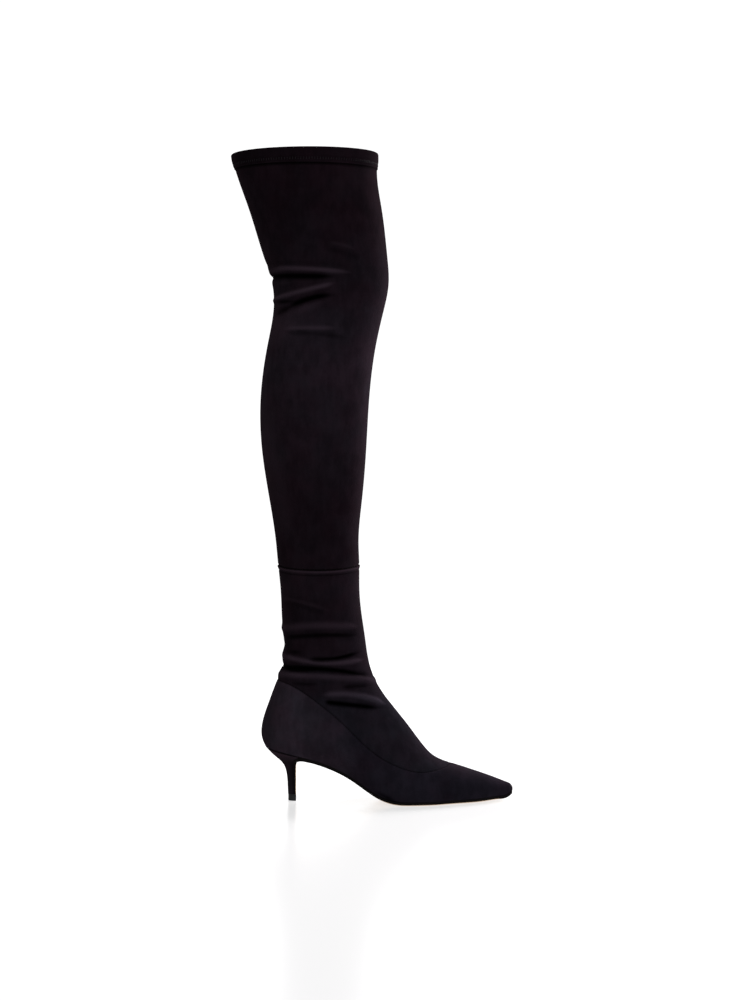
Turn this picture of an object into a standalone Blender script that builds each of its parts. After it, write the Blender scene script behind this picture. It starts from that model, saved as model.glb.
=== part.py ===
"""Over-the-knee stretch boot with a pointed toe and a kitten heel, for the right foot.

Frame: metres, +X towards the toe, +Z up, -Y the outer side. The floor is z = 0 and the origin is
under the middle of the boot's box. Tables and sizes are in millimetres, and MM turns them into metres.

The boot is drawn as a fan of flat sections. Each section is a straight line in the side view, from the back
or sole of the boot to its front or ridge, and an ellipse across it. Down the leg the ellipses are whole, and
along the foot the sole cuts their lower end off.
"""

import math

import bmesh
import bpy
import numpy as np

MM = 0.001

# Driving sizes
TOE_X = 141.0             # tip of the toe
SEAT_BACK_X = -105.4      # back end of the heel seat, where the upper meets the heel
SEAT_ROUND = 35.0         # length of the rounded back of the heel seat
NOSE_ROUND = 6.0          # length of the rounded tip of the toe
BALL_WIDTH = 73.0         # sole across the ball of the foot
TOE_SWING = 4.0           # how far the toe leans to the inner side
HEEL_HEIGHT = 53.0        # floor to the back of the heel seat
INSTEP_HEIGHT = 93.5      # floor to the instep, on the section through the heel seat
TOP_HEIGHT = 646.2        # floor to the top edge, at the front
TOP_SLOPE = 1.6           # how much lower that edge is at the back
SOLE_THICKNESS = 3.0      # sole and its share of the joint to the upper
BREAST_THICKNESS = 1.5    # sole leather where it turns down the front of the heel
FOOT_WALL = 1.8           # suede, stiffener and lining of the foot
LEG_WALL = 1.4            # stretch suede and its lining
INSOLE_THICKNESS = 2.0
INSOLE_INSET = 2.8        # how far the insole's edge lies inside the sole's outline
INSOLE_SHORT = 7.0        # how far it stops short of the toe
SOLE_INSET = 0.3          # how far the sole's edge lies inside that outline
LIFT_HEIGHT = 6.3         # rubber top piece under the heel
LIFT_BACK_X = -83.6       # back of that piece
LIFT_BEVEL = 0.2
SOLE_BEVEL = 0.7          # lower edge of the sole
INSOLE_BEVEL = 0.4
BAND_DEPTH = 15.0         # folded band round the top edge
BAND_LAYER = 0.8          # one layer of the folded band
GAP = 0.3                 # clearance between neighbouring pieces

# Sections of the leg and heel, top to bottom: a line from back to front, and half the width across it
LEG_COLUMNS = ("back_x", "back_z", "front_x", "front_z", "half_outer", "half_inner")
LEG_SECTIONS = (
    (-140.1, TOP_HEIGHT - TOP_SLOPE, 5.7, TOP_HEIGHT, 56.0, 56.0),
    (-136.0, 629.5, 4.8, 629.5, 55.4, 55.4),
    (-122.3, 590.0, 9.7, 590.0, 55.2, 55.2),
    (-107.6, 543.0, 15.2, 543.0, 54.3, 54.3),
    (-98.9, 514.0, 16.3, 514.0, 53.0, 53.0),
    (-98.0, 489.0, 11.4, 489.0, 51.5, 51.5),
    (-103.7, 456.0, 4.0, 456.0, 50.5, 50.5),
    (-110.8, 402.0, -2.9, 402.0, 50.0, 50.0),
    (-109.4, 350.0, -6.0, 350.0, 47.5, 47.5),
    (-101.8, 300.0, -10.2, 300.0, 43.0, 43.0),
    (-95.5, 258.0, -13.6, 258.0, 39.8, 39.8),
    (-93.4, 236.0, -12.9, 236.0, 38.6, 38.6),
    (-90.8, 210.0, -12.8, 212.0, 37.5, 37.5),
    (-89.4, 180.0, -10.6, 186.0, 36.5, 36.5),
    (-87.8, 152.0, -6.8, 160.0, 35.5, 35.5),
    (-91.0, 130.0, -3.2, 138.0, 35.0, 35.0),
    (-97.0, 114.0, 2.2, 122.0, 34.5, 34.5),
    (-104.0, 95.0, 8.2, 111.0, 33.7, 33.5),
    (-109.0, 79.0, 14.0, 102.5, 33.0, 32.7),
    (-109.8, 64.0, 18.0, 97.5, 32.7, 32.2),
    (SEAT_BACK_X, HEEL_HEIGHT, 21.2, INSTEP_HEIGHT, 32.5, 32.0),
)

# Sections of the foot, heel to toe: a line from the sole to the ridge of the vamp
FOOT_COLUMNS = ("sole_x", "front_x", "front_z", "half_outer", "half_inner")
FOOT_SECTIONS = (
    (-90.0, 27.5, 85.6, 32.8, 32.0),
    (-70.0, 35.5, 75.5, 33.3, 32.0),
    (-45.0, 44.0, 64.0, 34.0, 32.3),
    (-20.0, 52.0, 53.6, 35.2, 33.7),
    (5.0, 61.0, 44.6, 37.4, 36.0),
    (30.0, 72.0, 38.9, 38.6, 38.0),
    (55.0, 85.0, 34.9, 36.8, 37.4),
    (80.0, 101.0, 29.7, 29.4, 31.0),
    (105.0, 117.0, 24.3, 19.8, 21.0),
    (125.0, 129.5, 19.6, 11.2, 11.8),
    (135.0, 136.0, 17.1, 6.9, 7.1),
    (139.6, 139.7, 14.7, 5.1, 5.2),
    (TOE_X, TOE_X, 12.6, 4.5, 4.6),
)

# Underside of the sole in the side view, before it is cut flat at the floor
TREAD_COLUMNS = ("x", "height")
TREAD = (
    (SEAT_BACK_X, HEEL_HEIGHT - SOLE_THICKNESS),
    (-75.0, 43.2),
    (-60.0, 40.4),
    (-40.0, 33.1),
    (-20.0, 22.4),
    (0.0, 9.1),
    (12.0, 3.3),
    (22.0, 0.75),
    (30.0, 0.0),
    (62.0, 0.0),
    (90.0, 0.75),
    (110.0, 1.7),
    (125.0, 2.9),
    (136.0, 4.4),
    (TOE_X, 7.2),
)

# Outline of the sole: place along it as a share of its length, half widths as shares of the ball's width
PLAN_COLUMNS = ("along", "outer", "inner")
PLAN = (
    (0.00, 0.352, 0.352),
    (0.14, 0.354, 0.354),
    (0.24, 0.325, 0.315),
    (0.32, 0.305, 0.280),
    (0.40, 0.345, 0.315),
    (0.48, 0.440, 0.415),
    (0.55, 0.493, 0.487),
    (0.61, 0.493, 0.500),
    (0.67, 0.462, 0.480),
    (0.75, 0.378, 0.405),
    (0.83, 0.278, 0.298),
    (0.91, 0.170, 0.182),
    (0.97, 0.092, 0.096),
    (1.00, 0.060, 0.062),
)

# Seam between foot and ankle in the side view, from the back of the counter to the throat
TOPLINE_COLUMNS = ("x", "z")
TOPLINE = (
    (-85.0, 119.2),
    (-70.0, 112.6),
    (-51.5, 99.8),
    (-31.5, 82.9),
    (-11.5, 63.3),
    (8.5, 47.2),
    (28.5, 37.3),
    (48.5, 32.3),
    (63.5, 33.2),
    (73.5, 35.3),
)
TOPLINE_BACK_Z = 121.0
TOPLINE_THROAT_X = 78.0

CALF_SEAM_Z = 236.0
CALF_SEAM_DIP = 4.0       # how far that seam sags at the sides of the leg

# Heel block, seat to tip: flat front, half an ellipse behind it
HEEL_COLUMNS = ("back_x", "back_z", "front_x", "front_z", "half_width")
HEEL_SECTIONS = (
    (-105.1, 52.6, -73.0, 45.3, 25.4),
    (-100.4, 47.6, -75.6, 43.3, 20.6),
    (-95.7, 43.5, -77.4, 41.1, 15.6),
    (-91.2, 39.6, -78.4, 38.4, 11.6),
    (-88.0, 35.5, -78.7, 35.0, 9.0),
    (-86.1, 31.0, -78.7, 30.8, 7.5),
    (-84.9, 25.0, -78.7, 25.0, 6.5),
    (-84.2, 16.0, -78.7, 16.0, 5.7),
    (-83.8, 6.6, -78.7, 6.6, 5.2),
)
HEEL_FRONT_X = -76.7      # face of the sole leather on the front of the heel

# The sole's turn from the waist down the front of the heel, on its visible face
TURN_COLUMNS = ("x", "z", "half_width")
TURN = (
    (-60.0, 40.4, 24.7),
    (-66.0, 41.7, 24.9),
    (-70.6, 42.2, 24.2),
    (-74.0, 41.1, 20.3),
    (-76.2, 38.2, 12.6),
    (HEEL_FRONT_X, 34.0, 8.6),
    (HEEL_FRONT_X, 25.0, 6.5),
    (HEEL_FRONT_X, 16.0, 5.7),
    (HEEL_FRONT_X, 6.6, 5.2),
)

# Mesh density
LEG_ROWS = 17
ANKLE_ROWS = 8            # rows of the ankle panel above the topline
RING_HALF = 18            # columns round half the leg
SEAM_ROWS = 26            # points on half the topline
COUNTER_ROWS = 8          # rows of the upper behind the heel seat
SEAT_ROWS = 6             # rows round the back of the heel seat
PANEL_COLUMNS = 10        # columns across half the ankle panel and half the upper
VAMP_ROWS = 12            # rows of the upper ahead of the throat
THROAT_SLANT = 18.0       # how far the throat's row leans forward to the sole, to cross the seam's direction
SOLE_STATIONS = 44
INSOLE_STATIONS = 30
TURN_STATIONS = 26
HEEL_STATIONS = 20
HEEL_POINTS = 15          # points round one heel section
END_TRIM = 0.4            # end sections lie this far inside a rounded end, where the width is still above 0
FINE_STEPS = 3000         # steps of the searches along the boot
WELD = 0.02               # points closer than this are one point
SHARP_ANGLE = math.radians(40)

# Colours and finishes, from the photograph
FINISHES = {
    "stretch_suede": ((0.007, 0.006, 0.007), 0.9, 0.0),
    "foot_suede": ((0.009, 0.008, 0.009), 0.9, 0.0),
    "heel_suede": ((0.008, 0.007, 0.008), 0.85, 0.0),
    "sole_leather": ((0.55, 0.40, 0.27), 0.55, 0.0),
    "lift_rubber": ((0.02, 0.02, 0.021), 0.5, 0.0),
    "sock_lining": ((0.05, 0.045, 0.045), 0.7, 0.0),
}


def column(table, columns, name):
    return np.array([row[columns.index(name)] for row in table], float)


def spline(knots, values, at):
    """Natural cubic spline through the rows (knots, values), read at any places."""
    knots, values, at = (np.asarray(a, float) for a in (knots, values, at))
    step = np.diff(knots)
    slope = np.diff(values) / step
    system = np.eye(len(knots))
    right = np.zeros(len(knots))
    for i in range(1, len(knots) - 1):
        system[i, i - 1:i + 2] = step[i - 1], 2 * (step[i - 1] + step[i]), step[i]
        right[i] = 6 * (slope[i] - slope[i - 1])
    bend = np.linalg.solve(system, right)
    i = np.clip(np.searchsorted(knots, at) - 1, 0, len(step) - 1)
    a = (knots[i + 1] - at) / step[i]
    b = 1 - a
    curve = ((a ** 3 - a) * bend[i] + (b ** 3 - b) * bend[i + 1]) * step[i] ** 2 / 6
    return a * values[i] + b * values[i + 1] + curve


def path_length(x, z):
    """Distance along a line of side-view points, from the first to each of them."""
    return np.concatenate([[0.0], np.cumsum(np.hypot(np.diff(x), np.diff(z)))])


def tread_height(x):
    """Underside of the sole, flat where it would pass through the floor."""
    places, heights = (column(TREAD, TREAD_COLUMNS, name) for name in TREAD_COLUMNS)
    return np.maximum(spline(places, heights, x), 0.0)


def feather_height(x):
    """Height of the edge where the upper meets the sole."""
    return tread_height(x) + SOLE_THICKNESS


def rounded_end(distance, length):
    """Quarter of an ellipse: 0 at an end, 1 at that length from it and beyond."""
    return np.sqrt(np.clip(1 - (1 - np.clip(distance / length, 0, 1)) ** 2, 0, 1))


def nose(x, end=TOE_X):
    return rounded_end(end - x, NOSE_ROUND)


def plan_half(x, side, inset=0.0, end=TOE_X):
    """Half width of the sole's outline at x, on the outer (-1) or inner (+1) side, drawn in by inset."""
    along = (np.asarray(x, float) - SEAT_BACK_X) / (TOE_X - SEAT_BACK_X)
    shares = column(PLAN, PLAN_COLUMNS, "outer" if side < 0 else "inner")
    half = BALL_WIDTH * spline(column(PLAN, PLAN_COLUMNS, "along"), shares, along) - inset
    return np.maximum(half, 0.0) * rounded_end(x - SEAT_BACK_X - inset, SEAT_ROUND) * nose(x, end)


def centre_y(x):
    """Middle line of the foot, which leans to the inner side towards the toe."""
    return TOE_SWING * np.clip((np.asarray(x, float) - SEAT_BACK_X) / (TOE_X - SEAT_BACK_X), 0, 1) ** 2


class Skin:
    """Outer surface of the boot, in millimetres: a point for each section s and each angle round it.

    A section's number s is the mean distance along the back and front of the boot from the top edge to it.
    """

    def __init__(self):
        leg = {name: column(LEG_SECTIONS, LEG_COLUMNS, name) for name in LEG_COLUMNS}
        foot = {name: column(FOOT_SECTIONS, FOOT_COLUMNS, name) for name in FOOT_COLUMNS}
        self.front_x = np.concatenate([leg["front_x"], foot["front_x"]])
        self.front_z = np.concatenate([leg["front_z"], foot["front_z"]])
        self.half = {side: np.concatenate([leg[name], foot[name]])
                     for side, name in ((-1, "half_outer"), (1, "half_inner"))}
        back_x = np.concatenate([leg["back_x"], foot["sole_x"]])
        back_z = np.concatenate([leg["back_z"], feather_height(foot["sole_x"])])
        self.station = (path_length(back_x, back_z) + path_length(self.front_x, self.front_z)) / 2
        self.back_x, self.back_z = back_x, back_z
        self.corner = len(LEG_SECTIONS) - 1
        self.seat = self.station[self.corner]
        self.end = self.station[-1]

    def back(self, s):
        """Side-view point where section s starts: on the back of the leg, or on the sole's edge."""
        s = np.asarray(s, float)
        leg = slice(0, self.corner + 1)
        foot = slice(self.corner, None)
        on_leg = s <= self.seat
        x = np.where(on_leg, spline(self.station[leg], self.back_x[leg], s),
                     spline(self.station[foot], self.back_x[foot], s))
        z = np.where(on_leg, spline(self.station[leg], self.back_z[leg], s), feather_height(x))
        return x, z

    def front(self, s):
        """Side-view point where section s ends: on the shin, instep or ridge of the vamp."""
        return spline(self.station, self.front_x, s), spline(self.station, self.front_z, s)

    def first_angle(self, s, side):
        """Angle at which section s starts: 0 on the leg, and where the sole cuts the ellipse on the foot."""
        s = np.asarray(s, float)
        x, _ = self.back(s)
        half = spline(self.station, self.half[side], s)
        stands = np.where(s > self.seat, plan_half(x, side) / np.maximum(nose(x), 1e-6) / half, 0.0)
        return np.arcsin(np.clip(stands, 0, 0.999))

    def point(self, s, angle, side):
        """Point on section s, at an angle that runs from 0 at the back or low end to pi at the front."""
        s, angle = np.broadcast_arrays(np.asarray(s, float), np.asarray(angle, float))
        back_x, back_z = self.back(s)
        front_x, front_z = self.front(s)
        start = self.first_angle(s, side)
        share = (np.cos(start) - np.cos(angle)) / (1 + np.cos(start))
        on_foot = s > self.seat
        half = spline(self.station, self.half[side], s) * np.where(on_foot, nose(back_x), 1.0)
        middle = np.where(on_foot, centre_y(back_x), 0.0)
        return np.stack([back_x + (front_x - back_x) * share, middle + side * half * np.sin(angle),
                         back_z + (front_z - back_z) * share], axis=-1)

    def normal(self, s, angle, side):
        """Outward unit normal, from small steps along and round the surface."""
        step = 0.05
        turn = 0.0005
        s, angle = np.broadcast_arrays(np.asarray(s, float), np.asarray(angle, float))
        ahead = np.minimum(s + step, self.end)
        behind = np.maximum(s - step, 0)
        along = self.point(ahead, angle, side) - self.point(behind, angle, side)
        around = self.point(s, angle + turn, side) - self.point(s, angle - turn, side)
        out = side * np.cross(around, along)
        return out / np.linalg.norm(out, axis=-1, keepdims=True)

    def section_through(self, x, z):
        """Section and angle of the side-view point (x, z) on the outer side, by halving the range."""
        low, high = np.zeros_like(x), np.full_like(x, self.end)
        for _ in range(60):
            s = (low + high) / 2
            back_x, back_z = self.back(s)
            front_x, front_z = self.front(s)
            below = (front_x - back_x) * (z - back_z) - (front_z - back_z) * (x - back_x) < 0
            low, high = np.where(below, s, low), np.where(below, high, s)
        run, rise = front_x - back_x, front_z - back_z
        share = np.clip(((x - back_x) * run + (z - back_z) * rise) / (run ** 2 + rise ** 2), 0, 1)
        start = self.first_angle(s, -1)
        return s, np.arccos(np.clip(np.cos(start) - share * (1 + np.cos(start)), -1, 1))


def section_at_back(skin, z):
    """Section whose back point has this height, on the leg."""
    s = np.linspace(0, skin.seat, FINE_STEPS)
    return float(np.interp(-z, -skin.back(s)[1], s))


def section_at_front(skin, x):
    """Section whose ridge point has this x, on the vamp."""
    s = np.linspace(skin.seat, skin.end, FINE_STEPS)
    return float(np.interp(x, skin.front(s)[0], s))


def topline(skin):
    """Sections and angles along the foot-to-ankle seam, evenly spaced over the surface."""
    first, last = section_at_back(skin, TOPLINE_BACK_Z), section_at_front(skin, TOPLINE_THROAT_X)
    back, throat = skin.back(first), skin.front(last)
    x = np.concatenate([[back[0]], column(TOPLINE, TOPLINE_COLUMNS, "x"), [throat[0]]])
    z = np.concatenate([[back[1]], column(TOPLINE, TOPLINE_COLUMNS, "z"), [throat[1]]])
    along = path_length(x, z)
    fine = along[-1] * np.sin(np.linspace(0, math.pi / 2, FINE_STEPS))
    fine_s, fine_angle = skin.section_through(spline(along, x, fine), spline(along, z, fine))
    fine_s[0], fine_angle[0], fine_s[-1], fine_angle[-1] = first, 0.0, last, math.pi
    steps = np.linalg.norm(np.diff(skin.point(fine_s, fine_angle, -1), axis=0), axis=-1)
    length = np.concatenate([[0.0], np.cumsum(steps)])
    at = np.linspace(0, length[-1], SEAM_ROWS + 1)
    return np.interp(at, length, fine_s), np.interp(at, length, fine_angle)


def calf_seam(skin, angle):
    return section_at_back(skin, CALF_SEAM_Z) + CALF_SEAM_DIP * np.sin(angle)


def held_back(skin, s, angle, side, towards):
    """A seam's points, moved half a gap across it, towards the leg (+1) or towards the sole (-1)."""
    points, normals = skin.point(s, angle, side), skin.normal(s, angle, side)
    along = np.gradient(points, axis=0)
    along[0] = (0, side, 0)
    along[-1] = (0, -side, 0)
    across = side * np.cross(along, normals)
    across /= np.linalg.norm(across, axis=-1, keepdims=True)
    return points + towards * across * GAP / 2


def sheet_object(name, halves, finish, wall):
    """An open surface from grids of points for the two halves of the boot, made a shell by Solidify."""
    points, faces = [], []
    for side, grid in halves.items():
        rows, columns = grid.shape[:2]
        start = len(points)
        points.extend(grid.reshape(-1, 3) * MM)
        for r in range(rows - 1):
            for c in range(columns - 1):
                a = start + r * columns + c
                quad = (a, a + columns, a + columns + 1, a + 1)
                faces.append(quad if side < 0 else quad[::-1])
    mesh = bpy.data.meshes.new(name)
    mesh.from_pydata([tuple(p) for p in points], [], faces)
    welded = bmesh.new()
    welded.from_mesh(mesh)
    bmesh.ops.remove_doubles(welded, verts=welded.verts, dist=WELD * MM)
    welded.to_mesh(mesh)
    welded.free()
    obj = add_object(name, mesh, finish)
    shell = obj.modifiers.new("wall", "SOLIDIFY")
    shell.thickness = wall * MM
    shell.offset = -1.0
    shell.use_even_offset = True
    return obj


def loft_object(name, sections, finish):
    """A closed solid through rings of points, capped at both ends."""
    rings = np.asarray(sections, float) * MM
    count, size = rings.shape[:2]
    made = bmesh.new()
    verts = [[made.verts.new(p) for p in ring] for ring in rings]
    for k in range(count - 1):
        for i in range(size):
            j = (i + 1) % size
            made.faces.new((verts[k][i], verts[k][j], verts[k + 1][j], verts[k + 1][i]))
    made.faces.new(verts[0][::-1])
    made.faces.new(verts[-1])
    return add_object(name, mesh_from(made, name), finish)


def mesh_from(made, name):
    mesh = bpy.data.meshes.new(name)
    bmesh.ops.recalc_face_normals(made, faces=made.faces)
    made.to_mesh(mesh)
    made.free()
    return mesh


def add_object(name, mesh, finish):
    mesh.shade_smooth()
    mesh.set_sharp_from_angle(angle=SHARP_ANGLE)
    mesh.materials.append(finish_material(finish))
    obj = bpy.data.objects.new(name, mesh)
    bpy.data.collections["boot"].objects.link(obj)
    return obj


def finish_material(finish):
    material = bpy.data.materials.get(finish)
    if material is None:
        material = bpy.data.materials.new(finish)
        material.use_nodes = True
        colour, roughness, metallic = FINISHES[finish]
        shader = material.node_tree.nodes["Principled BSDF"]
        shader.inputs["Base Color"].default_value = (*colour, 1.0)
        shader.inputs["Roughness"].default_value = roughness
        shader.inputs["Metallic"].default_value = metallic
    return material


def panel(skin, starts, ends, side):
    """Grid of points whose rows run straight from start to end, given as sections and angles."""
    share = np.linspace(0, 1, PANEL_COLUMNS + 1)
    s, angle = (np.outer(a, 1 - share) + np.outer(b, share) for a, b in zip(starts, ends))
    return skin.point(s, angle, side)


def make_leg(skin):
    """Leg panel of stretch suede, from inside the folded band down to the calf seam."""
    angle = np.linspace(0, math.pi, RING_HALF + 1)
    top = np.array([BAND_LAYER + GAP, BAND_DEPTH / 2, BAND_DEPTH + 1.0])
    bottom = calf_seam(skin, angle)
    halves = {}
    for side in (-1, 1):
        rows = [skin.point(s, angle, side) for s in top]
        rows += [skin.point(top[-1] + (bottom - top[-1]) * r, angle, side)
                 for r in np.linspace(0, 1, LEG_ROWS + 1)[1:-1]]
        rows.append(held_back(skin, bottom, angle, side, 1))
        halves[side] = np.array(rows)
    return sheet_object("leg_panel", halves, "stretch_suede", LEG_WALL)


def make_ankle(skin):
    """Ankle panel of stretch suede, from the calf seam down to the topline of the foot.

    Its rows run from the back of the leg, and then from the topline, to the front of the leg.
    """
    angle = np.linspace(0, math.pi, PANEL_COLUMNS + 1)
    seam_s, seam_angle = topline(skin)
    top = section_at_back(skin, CALF_SEAM_Z)
    above = np.linspace(top, seam_s[0], ANKLE_ROWS + 1)[1:-1]
    start_s = np.concatenate([above, seam_s])
    start_angle = np.concatenate([0 * above, seam_angle])
    ridge = top + (seam_s[-1] - top) * np.linspace(0, 1, len(start_s) + 1)[1:]
    halves = {}
    for side in (-1, 1):
        grid = panel(skin, (start_s, start_angle), (ridge, np.full_like(ridge, math.pi)), side)
        for r in range(len(above)):
            sag = CALF_SEAM_DIP * (1 - (r + 1) / ANKLE_ROWS)
            row = np.linspace(above[r], ridge[r], PANEL_COLUMNS + 1)
            grid[r] = skin.point(row + sag * np.sin(angle), angle, side)
        grid[len(above):, 0] = held_back(skin, seam_s, seam_angle, side, 1)
        grid[-1] = grid[-1, 0]
        halves[side] = np.concatenate([held_back(skin, calf_seam(skin, angle), angle, side, -1)[None], grid])
    return sheet_object("ankle_panel", halves, "stretch_suede", LEG_WALL)


def upper_edge(skin, first, last):
    """Sections at which the upper's rows start: down the back, round the heel seat, then along the sole."""
    seat_x = SEAT_BACK_X + SEAT_ROUND * (1 - np.cos(np.linspace(0, math.pi / 2, SEAT_ROWS + 1)))
    fine = np.linspace(skin.seat, last, FINE_STEPS)
    seat = np.interp(seat_x, skin.back(fine)[0], fine)
    behind = np.linspace(first, skin.seat, COUNTER_ROWS + 1)[:-1]
    ahead = np.linspace(seat[-1], last, SEAM_ROWS - COUNTER_ROWS - SEAT_ROWS + 1)[1:]
    return np.concatenate([behind, seat, ahead])


def make_upper(skin):
    """Foot of the boot, vamp and quarters in one, from the topline to the sole, open above and below.

    Its rows run from the back of the heel, then from the sole's edge, to the topline and then the ridge.
    """
    seam_s, seam_angle = topline(skin)
    edge = upper_edge(skin, seam_s[0], seam_s[-1] + THROAT_SLANT)
    ease = np.sin(np.linspace(0, math.pi / 2, VAMP_ROWS + 1)[1:])
    start_s = np.concatenate([edge, edge[-1] + (skin.end - edge[-1]) * ease])
    end_s = np.concatenate([seam_s, seam_s[-1] + (skin.end - seam_s[-1]) * ease])
    end_angle = np.concatenate([seam_angle, np.full(VAMP_ROWS, math.pi)])
    halves = {}
    for side in (-1, 1):
        grid = panel(skin, (start_s, skin.first_angle(start_s, side)), (end_s, end_angle), side)
        grid[:SEAM_ROWS + 1, -1] = held_back(skin, seam_s, seam_angle, side, -1)
        grid[0] = grid[0, -1]
        halves[side] = grid
    return sheet_object("upper", halves, "foot_suede", FOOT_WALL)


def make_band(skin):
    """Folded band over the top edge: an upside-down U swept round the collar."""
    outside, inside = GAP, -LEG_WALL - GAP
    deep, middle, fold = BAND_DEPTH, BAND_DEPTH / 2, BAND_LAYER
    shoulder, crown = 0.6 * fold, 0.4 * fold
    profile = (
        (outside, deep), (outside, middle), (outside, fold),
        (inside, fold), (inside, middle), (inside, deep),
        (inside - fold, deep), (inside - fold, middle), (inside - fold, shoulder), (inside - crown, 0.0),
        (outside + crown, 0.0), (outside + fold, shoulder), (outside + fold, middle), (outside + fold, deep),
    )
    angle = np.linspace(0, math.pi, RING_HALF + 1)
    rings = []
    for offset, depth in profile:
        outer = skin.point(depth, angle, -1) + offset * skin.normal(depth, angle, -1)
        inner = skin.point(depth, angle, 1) + offset * skin.normal(depth, angle, 1)
        rings.append(np.concatenate([outer, inner[-2:0:-1]]))
    rings = np.array(rings) * MM
    made = bmesh.new()
    verts = [[made.verts.new(p) for p in ring] for ring in rings]
    for k in range(len(profile)):
        for i in range(len(rings[0])):
            below, following = (k + 1) % len(profile), (i + 1) % len(rings[0])
            made.faces.new((verts[k][i], verts[k][following], verts[below][following], verts[below][i]))
    return add_object("top_band", mesh_from(made, "top_band"), "stretch_suede")


def plate_section(x, z_low, z_high, inset, end, edge):
    """Six corners of the sole or insole across the foot at x, with the lower edges cut off by edge."""
    low, high = (centre_y(x) + side * plan_half(x, side, inset, end) for side in (-1, 1))
    trim = min(edge, 0.45 * (high - low))
    return [(x, low, z_high), (x, low, z_low + edge), (x, low + trim, z_low),
            (x, high - trim, z_low), (x, high, z_low + edge), (x, high, z_high)]


def plate_stations(start, end, count):
    """Places along the foot, close together at the rounded ends."""
    return start + (end - start) * (1 - np.cos(np.linspace(0.0, math.pi, count))) / 2


def make_insole():
    """Insole board with its sock, resting on the sole and the heel inside the upper."""
    end = TOE_X - INSOLE_SHORT
    stations = plate_stations(SEAT_BACK_X + INSOLE_INSET + END_TRIM, end - END_TRIM, INSOLE_STATIONS)
    sections = []
    for x, low in zip(stations, feather_height(stations)):
        sections.append(plate_section(x, low, low + INSOLE_THICKNESS, INSOLE_INSET, end, INSOLE_BEVEL))
    return loft_object("insole", sections, "sock_lining")


def make_outsole():
    """Leather sole from the toe to the waist, turned down the front of the heel to the top piece."""
    sections = []
    stations = plate_stations(TOE_X - END_TRIM, TURN[0][0], SOLE_STATIONS)[:-1]
    for x, low in zip(stations, tread_height(stations)):
        sections.append(plate_section(x, low, low + SOLE_THICKNESS - GAP, SOLE_INSET, TOE_X, SOLE_BEVEL))
    turn_x, turn_z, turn_half = (column(TURN, TURN_COLUMNS, name) for name in TURN_COLUMNS)
    along = path_length(turn_x, turn_z)
    at = np.linspace(0, along[-1], TURN_STATIONS)
    x, z, half = (spline(along, values, at) for values in (turn_x, turn_z, turn_half))
    x = np.maximum(x, HEEL_FRONT_X)
    path = np.stack([np.gradient(x), np.gradient(z)], axis=-1)
    path /= np.linalg.norm(path, axis=-1, keepdims=True)
    thick = np.interp(at, along[[1, 4]], [SOLE_THICKNESS - GAP, BREAST_THICKNESS])
    for k in range(len(at)):
        nx, nz = path[k][1], -path[k][0]
        y = centre_y(x[k])
        bevel = SOLE_BEVEL * thick[k] / SOLE_THICKNESS
        top = (x[k] + nx * thick[k], z[k] + nz * thick[k])
        mid = (x[k] + nx * bevel, z[k] + nz * bevel)
        sections.append([(top[0], y - half[k], top[1]), (mid[0], y - half[k], mid[1]),
                         (x[k], y - half[k] + bevel, z[k]), (x[k], y + half[k] - bevel, z[k]),
                         (mid[0], y + half[k], mid[1]), (top[0], y + half[k], top[1])])
    return loft_object("outsole", sections, "sole_leather")


def half_ellipse(back, front, half_width):
    """One heel section: half an ellipse from the outer front corner, round the back, to the inner one."""
    angle = np.linspace(-math.pi / 2, math.pi / 2, HEEL_POINTS)
    depth = 1 - np.cos(angle)
    x = back[0] + (front[0] - back[0]) * depth
    z = back[1] + (front[1] - back[1]) * depth
    return np.stack([x, half_width * np.sin(angle), z], axis=-1)


def make_heel():
    """Kitten heel block from the slanted seat down to the top piece."""
    data = {name: column(HEEL_SECTIONS, HEEL_COLUMNS, name) for name in HEEL_COLUMNS}
    along = path_length(data["back_x"], data["back_z"])
    at = np.linspace(0, along[-1], HEEL_STATIONS)
    read = {name: spline(along, values, at) for name, values in data.items()}
    sections = [half_ellipse((read["back_x"][k], read["back_z"][k]), (read["front_x"][k], read["front_z"][k]),
                             read["half_width"][k]) for k in range(len(at))]
    return loft_object("heel", sections, "heel_suede")


def make_top_piece():
    """Rubber top piece that the heel stands on."""
    half_width = HEEL_SECTIONS[-1][HEEL_COLUMNS.index("half_width")]
    levels = ((0.0, LIFT_BEVEL), (2 * LIFT_BEVEL, 0.0), (LIFT_HEIGHT, 0.0))
    sections = [half_ellipse((LIFT_BACK_X + inset, z), (HEEL_FRONT_X - inset, z), half_width - inset)
                for z, inset in levels]
    return loft_object("top_piece", sections, "lift_rubber")


def main():
    for old in list(bpy.data.objects):
        bpy.data.objects.remove(old)
    bpy.context.scene.collection.children.link(bpy.data.collections.new("boot"))
    skin = Skin()
    make_upper(skin)
    make_ankle(skin)
    make_leg(skin)
    make_band(skin)
    make_insole()
    make_outsole()
    make_heel()
    make_top_piece()


main()
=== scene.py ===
"""Looks of an over-the-knee stretch boot with a pointed toe and a kitten heel, laid out as a Blender add-on.

Frame: metres, +X towards the toe, +Z up, -Y the outer side, the floor at z = 0. Tables and sizes are in
millimetres, and MM turns them into metres. The skin of the boot is a fan of flat sections: each is a
straight line in the side view, from the back or sole to the front or ridge, and an ellipse across it. The
suede panels are fine grids on that skin, moved along its normal by folds and seams.
"""

import math

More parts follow.
